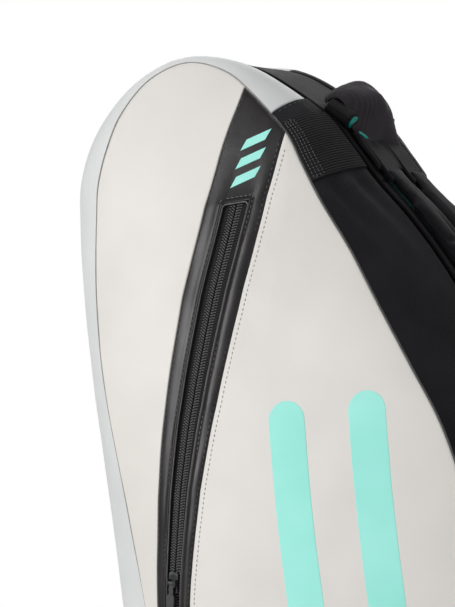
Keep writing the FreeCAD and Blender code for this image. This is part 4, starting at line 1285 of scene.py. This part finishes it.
def build_straps():
    def pad_high(d):
        rise = np.clip((d - PAD_TOP_S) / (90 * MM), 0, 1)
        return PAD_HIGH_LIFT - 3.6 * MM * (1 - rise * rise * (3 - 2 * rise))
    start = ribbon(strap_point, PAD_TOP_S, PAD_LOW_S, pad_half, PAD_LOW_LIFT, pad_high, 3.2 * MM, 6 * MM, 6)
    pad = quilt_pad(inflate(start, 4.2 * MM, 4.0, 2.6 * MM))
    lining = ribbon(strap_point, PAD_TOP_S + 4 * MM, PAD_LOW_S - 4 * MM, lambda d: pad_half(d) - 8.0 * MM,
                    0.3 * MM, 2.0 * MM, 1.0 * MM, 6 * MM, 6)
    ribs = lambda d, across: 0.12 * MM * np.sin(2 * math.pi * d / (1.6 * MM))
    web = ribbon(strap_point, PAD_LOW_S - 9 * MM, WEB_LOW_S + 4 * MM, WEB_HALF - 0.4 * MM, 3.1 * MM, 4.5 * MM,
                 0.6 * MM, 0.8 * MM, 6, ribs)

    def neck_point(d, across, lift):
        rise = np.clip((d - PAD_TOP_S + 30 * MM) / (34 * MM), 0, 1)
        return strap_point(d, across, lift + 2.0 * MM + 0.8 * MM * rise * rise * (3 - 2 * rise))
    neck = ribbon(neck_point, PAD_TOP_S - 27 * MM, PAD_TOP_S + 14 * MM, 15.0 * MM, 0.2 * MM, 3.4 * MM, 1.6 * MM, 2 * MM, 8)
    for name, side in SIDES:
        body = f"{name}_strap"
        add_piece(f"{name}_strap_cushion", body, pad, PAD, [f"{name}_shoulder_pad"], side)
        add_piece(f"{name}_strap_lining", body, lining, TEAL, [f"{name}_pad_lining"], side)
        add_piece(f"{name}_lower_webbing", body, web, WEBBING, [f"{name}_strap_webbing"], side)
        out = Vector(outward(np.array([PAD_TOP_S]))[0])
        pivot = Vector(strap_point(np.array([PAD_TOP_S + 1 * MM]), 0, 2 * MM)[0])
        down = Vector((out.z, 0, -out.x))
        a, b = pivot - down * 6 * MM, pivot + down * 9 * MM
        across = ("root", body, (a.x, a.y * side, a.z), (b.x, b.y * side, b.z))
        add_piece(f"{name}_strap_neck", across, neck, PAD, (), side)


# ------------------------------------------------------------------ handles
def arch_line(start, end, profile, lean):
    """Line point(d, across, lift) over a chord; profile holds (share of chord, height) points."""
    chord = end - start
    level = chord / np.linalg.norm(chord)
    side = np.array([0.0, 1.0, 0.0])
    up = np.cross(side, level)
    turn = math.radians(lean)
    raised = up * math.cos(turn) + side * math.sin(turn)
    across_way = side * math.cos(turn) - up * math.sin(turn)
    spots = np.linspace(0, len(profile) - 1, 600)
    curve = spline(profile, spots)
    line = start + chord * curve[:, :1] + raised * curve[:, 1:]
    length = np.concatenate([[0], np.cumsum(np.linalg.norm(np.diff(line, axis=0), axis=1))])

    def place(d):
        return np.stack([np.interp(d, length, line[:, k]) for k in range(3)], -1)

    def point(d, across, lift):
        along = place(np.minimum(d + MM, length[-1])) - place(np.maximum(d - MM, 0))
        along /= np.linalg.norm(along, axis=-1)[..., None]
        normal = np.cross(across_way, along)
        if np.dot(np.cross(across_way, level), raised) < 0:
            normal = -normal
        shift = (0 * d + across)[..., None] * across_way
        return place(d) + shift + normal * (0 * d + lift)[..., None]
    return point, length[-1]


HANDLE_Y = -66.0 * MM
HANDLE_LOW_Z, HANDLE_HIGH_Z = 290.0, 480.0
HANDLE_RISE = 74.0 * MM
HANDLE_HALF = 12.5 * MM
HANDLE_LEAN = 6.0


def handle_foot(z, direction):
    """Webbing foot of a carry handle, stitched flat to the side wall in a crossed square."""
    s_at = handle_side(z)
    depth = -HANDLE_Y - ZIP_PLANE

    def point(d, across, lift):
        s = s_at + direction * d
        return on_wall(s, (depth + across) / wall_width(s), lift)
    ribs = lambda d, across: 0.12 * MM * np.sin(2 * math.pi * d / (1.6 * MM))
    foot = ribbon(point, -3 * MM, 37 * MM, HANDLE_HALF, 0.1 * MM, 2.3 * MM, 0.7 * MM, 0.8 * MM, 8, ribs)
    rows = []
    low, high, half = 11 * MM, 33 * MM, 9.5 * MM
    corners = [(low, -half), (high, -half), (high, half), (low, half)]
    for (d0, a0), (d1, a1) in list(zip(corners, corners[1:] + corners[:1])) + [
            (corners[0], corners[2]), (corners[1], corners[3])]:
        long = math.hypot(d1 - d0, a1 - a0)

        def seam(t, lift, d0=d0, a0=a0, d1=d1, a1=a1, long=long):
            return point(d0 + (d1 - d0) * t / long, a0 + (a1 - a0) * t / long, lift)
        rows.append(stitches(seam, 0, long, 2.6 * MM, 1.0 * MM, 0.3 * MM, 2.35 * MM))
    return foot, joined(*rows)


def build_handles():
    ends = [np.array([(arc_x(z) + 1) * MM, HANDLE_Y, z * MM]) for z in (HANDLE_LOW_Z, HANDLE_HIGH_Z)]
    rise = HANDLE_RISE
    profile = [(-0.012, -2.5 * MM), (0.004, 10 * MM), (0.05, 0.42 * rise), (0.16, 0.84 * rise), (0.32, rise),
               (0.5, 1.02 * rise), (0.68, rise), (0.84, 0.84 * rise), (0.95, 0.42 * rise), (0.996, 10 * MM),
               (1.012, -2.5 * MM)]
    point, length = arch_line(ends[0], ends[1], profile, HANDLE_LEAN)

    def half(d):
        share = np.clip(np.minimum(d, length - d) / (26 * MM), 0, 1)
        return 7.5 * MM + (HANDLE_HALF - 7.5 * MM) * np.sin(share * math.pi / 2)
    ribs = lambda d, across: 0.12 * MM * np.sin(2 * math.pi * d / (1.6 * MM))
    strap = ribbon(point, 0.0, length, half, 0.1 * MM, 2.9 * MM, 0.8 * MM, 0.8 * MM, 8, ribs)
    lines = [stitches(lambda d, lift, a=a: point(d, a, lift), 40 * MM, length - 40 * MM, 3.4 * MM, 1.2 * MM,
                      0.28 * MM, 2.95 * MM) for a in (-9.5 * MM, 9.5 * MM)]
    feet, foot_rows = zip(*[handle_foot(HANDLE_LOW_Z, 1), handle_foot(HANDLE_HIGH_Z, -1)])
    middle = (ends[0] + ends[1]) / 2
    raised = point(np.array([length / 2]), 0, 0)[0] - middle
    raised /= np.linalg.norm(raised)
    low, high = middle + raised * 1 * MM, middle + raised * 22 * MM
    for name, side in SIDES:
        across = (f"{name}_shell", f"{name}_handle", (low[0], low[1] * side, low[2]), (high[0], high[1] * side, high[2]))
        add_piece(f"{name}_handle_strap", across, strap, WEBBING, [f"{name}_carry_handle"], side)
        add_piece(f"{name}_handle_stitches", f"{name}_handle", joined(*lines), THREAD_MID, (), side)
        add_piece(f"{name}_handle_feet", f"{name}_shell", joined(*feet), WEBBING, (), side)
        add_piece(f"{name}_feet_stitches", f"{name}_shell", joined(*foot_rows), THREAD_MID, (), side)
    grip_half = 45 * MM
    wrap = ribbon(point, length / 2 - grip_half, length / 2 + grip_half, HANDLE_HALF + 2.6 * MM, -3.3 * MM, 6.3 * MM,
                  4.2 * MM, 3 * MM, 8)
    grip = inflate(wrap, 3.6 * MM, 4.0, 1.8 * MM)
    add_piece("grip_wrap", "front_handle", grip, PAD, ["handle_grip"])
    closing = stitches(lambda d, lift: point(d, -HANDLE_HALF + 4 * MM, lift), length / 2 - 36 * MM, length / 2 + 36 * MM,
                       3.2 * MM, 1.1 * MM, 0.3 * MM, 8.1 * MM)
    add_piece("grip_stitches", "front_handle", closing, THREAD_MID)


def hump_line(share):
    """X, Z along the top of the grab handle's hood."""
    path = np.array([(62, 729), (70, 735.5), (79, 741), (89, 742), (97, 735), (104, 727), (107, 716), (104, 702),
                     (99, 687)]) * MM
    return spline(path, np.ravel(share) * (len(path) - 1)).reshape(np.shape(share) + (2,))


HUMP_LONG = 96 * MM
HOOD_HALF = 39 * MM
HOOD_FIRST_S = ring_near(61.0, 731.0)
HOOD_LAST_S = ring_near(101.0, 679.0)
HOOD_CENTRE = np.array([78.0, 704.0]) * MM


def hood_point(d, across, lift, closed=0.0):
    """Point of the padded hood: its edges start later and fall towards the gusset."""
    side = np.clip(np.abs(across) / HOOD_HALF, 0, 1)
    share = np.clip(d / HUMP_LONG, 0, 1)
    share = share + (1 - share) * 0.16 * side**1.5
    foot = on_gusset(HOOD_FIRST_S + (HOOD_LAST_S - HOOD_FIRST_S) * share, 0.0, 2.5 * MM + 0 * share)[..., [0, 2]]
    late = np.clip((share - 0.42) / 0.4, 0, 1)
    early = np.clip(1 - share / 0.42, 0, 1)
    fall = 0.42 + 0.48 * late * late * (3 - 2 * late) + 0.50 * early * early * (3 - 2 * early)
    fall = np.maximum(fall, closed)
    drop = (fall * side**1.5)[..., None]
    place = hump_line(share) * (1 - drop) + foot * drop
    away = place - HOOD_CENTRE
    away = away / np.linalg.norm(away, axis=-1)[..., None]
    place = place + away * (0 * share + lift)[..., None]
    return np.stack([place[..., 0], 0 * share + across, place[..., 1]], -1)


def hood_core(d, across, lift):
    return hood_point(d, across, lift - 8.0 * MM, 0.92)


def build_grab():
    start = ribbon(hood_point, 0.5 * MM, HUMP_LONG - 0.5 * MM, HOOD_HALF, -6.4 * MM, -1.4 * MM, 2.2 * MM, 3 * MM, 18)
    points, faces, uv = inflate(start, 3.2 * MM, 3.0, 1.4 * MM)
    crease = points[:, 0] - 0.099 + (points[:, 2] - 0.725) * 0.5 - points[:, 1] * 0.25
    fold = ripple(points, 0.05, 2) * 1.1 * MM + 2.2 * MM * np.exp(-(crease / (4 * MM)) ** 2)
    away = points - (HOOD_CENTRE[0], 0.0, HOOD_CENTRE[1])
    away /= np.linalg.norm(away, axis=-1)[:, None]
    points = points - away * (fold * np.clip((points[:, 2] - 0.70) / 0.02, 0, 1))[:, None]
    across = ("root", "grab_loop", (0.070, 0.0, 0.7085), (0.081, 0.0, 0.7185))
    # The hood's outer cover gets the brighter pad cloth, which is painted light; the core under it keeps the plain pad
    # cloth.
    add_piece("grab_cushion", across, (points, faces, uv), PAD_PAINTED_LIGHT, ["grab_handle"])
    core = ribbon(hood_core, 2 * MM, HUMP_LONG - 1 * MM, 35 * MM, -3.0 * MM, 0.0, 1.2 * MM, 3 * MM, 18)
    add_piece("grab_core", across, core, PAD)
    ribs = lambda d, across: 0.3 * MM * np.abs(np.sin(math.pi * d / (1.75 * MM)))
    under = ribbon(hood_core, 5 * MM, HUMP_LONG - 6 * MM, 15 * MM, -5.6 * MM, -3.6 * MM, 0.8 * MM, 0.45 * MM, 8, ribs)
    add_piece("grab_webbing", across, under, WEBBING)
    for name, side in SIDES:
        def roll_line(d, lift):
            share = d / (24 * MM)
            return np.stack([76 * MM + 19 * MM * share, -35.6 * MM - lift + 0 * d, 721.5 * MM - 17.4 * MM * share], -1)
        roll = tube(roll_line, 0.0, 21.5 * MM, 7.0 * MM, 1.2 * MM, 20)
        core = tube(roll_line, 20.1 * MM, 23.4 * MM, 5.0 * MM, 0.8 * MM, 20)

        def teal_line(d, lift):
            share = d / (9 * MM)
            return np.stack([98 * MM + 6.5 * MM * share + lift, -38.5 * MM + 0 * d,
                             698 * MM - 6 * MM * share + lift], -1)
        trim = tube(teal_line, 0.0, 9 * MM, 1.0 * MM, 1.5 * MM, 10)
        add_piece(f"{name}_grab_roll", "root", roll, WEBBING, (), side)
        if side > 0:
            add_piece("teal_trim", "root", joined(core, trim), TEAL_TRIM)
    yoke_start, yoke_end = handle_side(693.0), handle_side(667.0)
    yoke = ribbon(on_gusset, yoke_start, yoke_end, lambda d: 39.5 * MM - 0 * d, 2.2 * MM, 5.2 * MM, 2.6 * MM, 2 * MM, 20)
    soft = 0.8 * MM * ripple(yoke[0], 0.03, 7)
    add_piece("strap_yoke", "root", (yoke[0] + np.stack([soft, 0 * soft, soft * 0.6], -1), yoke[1], yoke[2]), PAD)


# ------------------------------------------------------------------ carried-over hard parts
def paint(node, material):
    mesh_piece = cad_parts[node]
    mesh_piece.data.materials.clear()
    mesh_piece.data.materials.append(material)


def paint_hard_parts():
    paint("base_panel", BASE)
    paint("base_stiffener", BOARD)
    paint("strap_rings", RINGS)
    for name, _ in SIDES:
        paint(f"{name}_strap_adjuster", FITTING)
        paint(f"{name}_strap_hook", FITTING)
    for zip_name in ("front_upper", "front_lower", "rear_upper", "rear_lower", "pocket"):
        paint(f"{zip_name}_slider", SLIDER)
        low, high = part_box(f"{zip_name}_slider")
        paint(f"{zip_name}_pull", tipped_pull(f"{zip_name}_pull_skin", (low + high) / 2, 20 * MM))


# ------------------------------------------------------------------ stage, light and camera
def area_light(name, place, target, size, power, colour=(1, 1, 1)):
    lamp = bpy.data.lights.new(name, "AREA")
    lamp.shape = "RECTANGLE"
    lamp.size, lamp.size_y = size
    lamp.energy = power
    lamp.color = colour
    lamp_object = bpy.data.objects.new(name, lamp)
    lamp_object.location = place
    lamp_object.rotation_euler = (Vector(target) - Vector(place)).to_track_quat("-Z", "Y").to_euler()
    bpy.context.scene.collection.objects.link(lamp_object)


def build_stage():
    mesh = bpy.data.meshes.new("floor")
    size = 40.0
    mesh.from_pydata([(-size, -size, 0), (size, -size, 0), (size, size, 0), (-size, size, 0)], [], [(0, 1, 2, 3)])
    g = Graph("floor_pale", 0.6, "Object")
    mesh.materials.append(g.done(g.colour((0.80, 0.80, 0.79), (0.84, 0.84, 0.83), g.noise(0.3, 2.0))))
    far = g.add("ShaderNodeVectorMath", operation="LENGTH")
    g.wire(g.place, far.inputs[0])
    haze = g.math("MULTIPLY", g.math("SUBTRACT", far.outputs["Value"], 0.5), 0.55)
    seen = g.add("ShaderNodeLightPath").outputs["Is Camera Ray"]
    glow = g.add("ShaderNodeEmission")
    fade = g.add("ShaderNodeMixShader")
    g.wire(g.math("MULTIPLY", g.math("MINIMUM", g.math("MAXIMUM", haze, 0.0), 1.0), seen), fade.inputs[0])
    g.wire(g.shader.outputs[0], fade.inputs[1])
    g.wire(glow.outputs[0], fade.inputs[2])
    g.wire(fade.outputs[0], g.nodes["Material Output"].inputs["Surface"])
    floor = bpy.data.objects.new("floor", mesh)
    floor.location = (0, 0, -0.0005)
    bpy.context.scene.collection.objects.link(floor)

    world = bpy.data.worlds.new("studio")
    bpy.context.scene.world = world
    world.use_nodes = True
    nodes, links = world.node_tree.nodes, world.node_tree.links
    nodes.clear()
    seen, lit = nodes.new("ShaderNodeBackground"), nodes.new("ShaderNodeBackground")
    seen.inputs[0].default_value = (1, 1, 1, 1)
    seen.inputs[1].default_value = 1.0
    lit.inputs[0].default_value = (1, 1, 1, 1)
    lit.inputs[1].default_value = 0.30
    path, mix = nodes.new("ShaderNodeLightPath"), nodes.new("ShaderNodeMixShader")
    out = nodes.new("ShaderNodeOutputWorld")
    links.new(path.outputs["Is Camera Ray"], mix.inputs[0])
    links.new(lit.outputs[0], mix.inputs[1])
    links.new(seen.outputs[0], mix.inputs[2])
    links.new(mix.outputs[0], out.inputs[0])

    area_light("key", (-1.4, -2.2, 1.35), (0, 0, 0.45), (1.1, 1.9), 47)
    area_light("fill", (2.4, -1.6, 1.0), (0, 0, 0.45), (1.2, 1.8), 7)
    area_light("top", (0.3, 0.3, 2.6), (0, 0, 0.5), (1.6, 1.6), 14)
    area_light("back", (-0.6, 2.4, 1.5), (0, 0, 0.45), (1.6, 1.6), 20)
    bpy.context.scene.view_settings.view_transform = "Standard"


def build_camera():
    place = Vector((0.9740, -2.1765, 0.4505))
    target = Vector((0.002, -0.092, 0.5855))
    roll = math.radians(7.0)
    forward = (target - place).normalized()
    right = forward.cross(Vector((0, 0, 1))).normalized()
    up = right.cross(forward)
    tilted_right = right * math.cos(roll) - up * math.sin(roll)
    tilted_up = right * math.sin(roll) + up * math.cos(roll)
    turn = Matrix((tilted_right, tilted_up, -forward)).transposed()
    data = bpy.data.cameras.new("camera")
    data.sensor_width = 36
    data.lens = 189.8
    camera = bpy.data.objects.new("camera", data)
    camera.matrix_world = Matrix.Translation(place) @ turn.to_4x4()
    bpy.context.scene.collection.objects.link(camera)
    bpy.context.scene.camera = camera


for shell_name, shell_side in SIDES:
    build_shell(shell_name, shell_side)
build_pocket()
build_core()
build_straps()
build_handles()
build_grab()
paint_hard_parts()
build_stage()
build_camera()
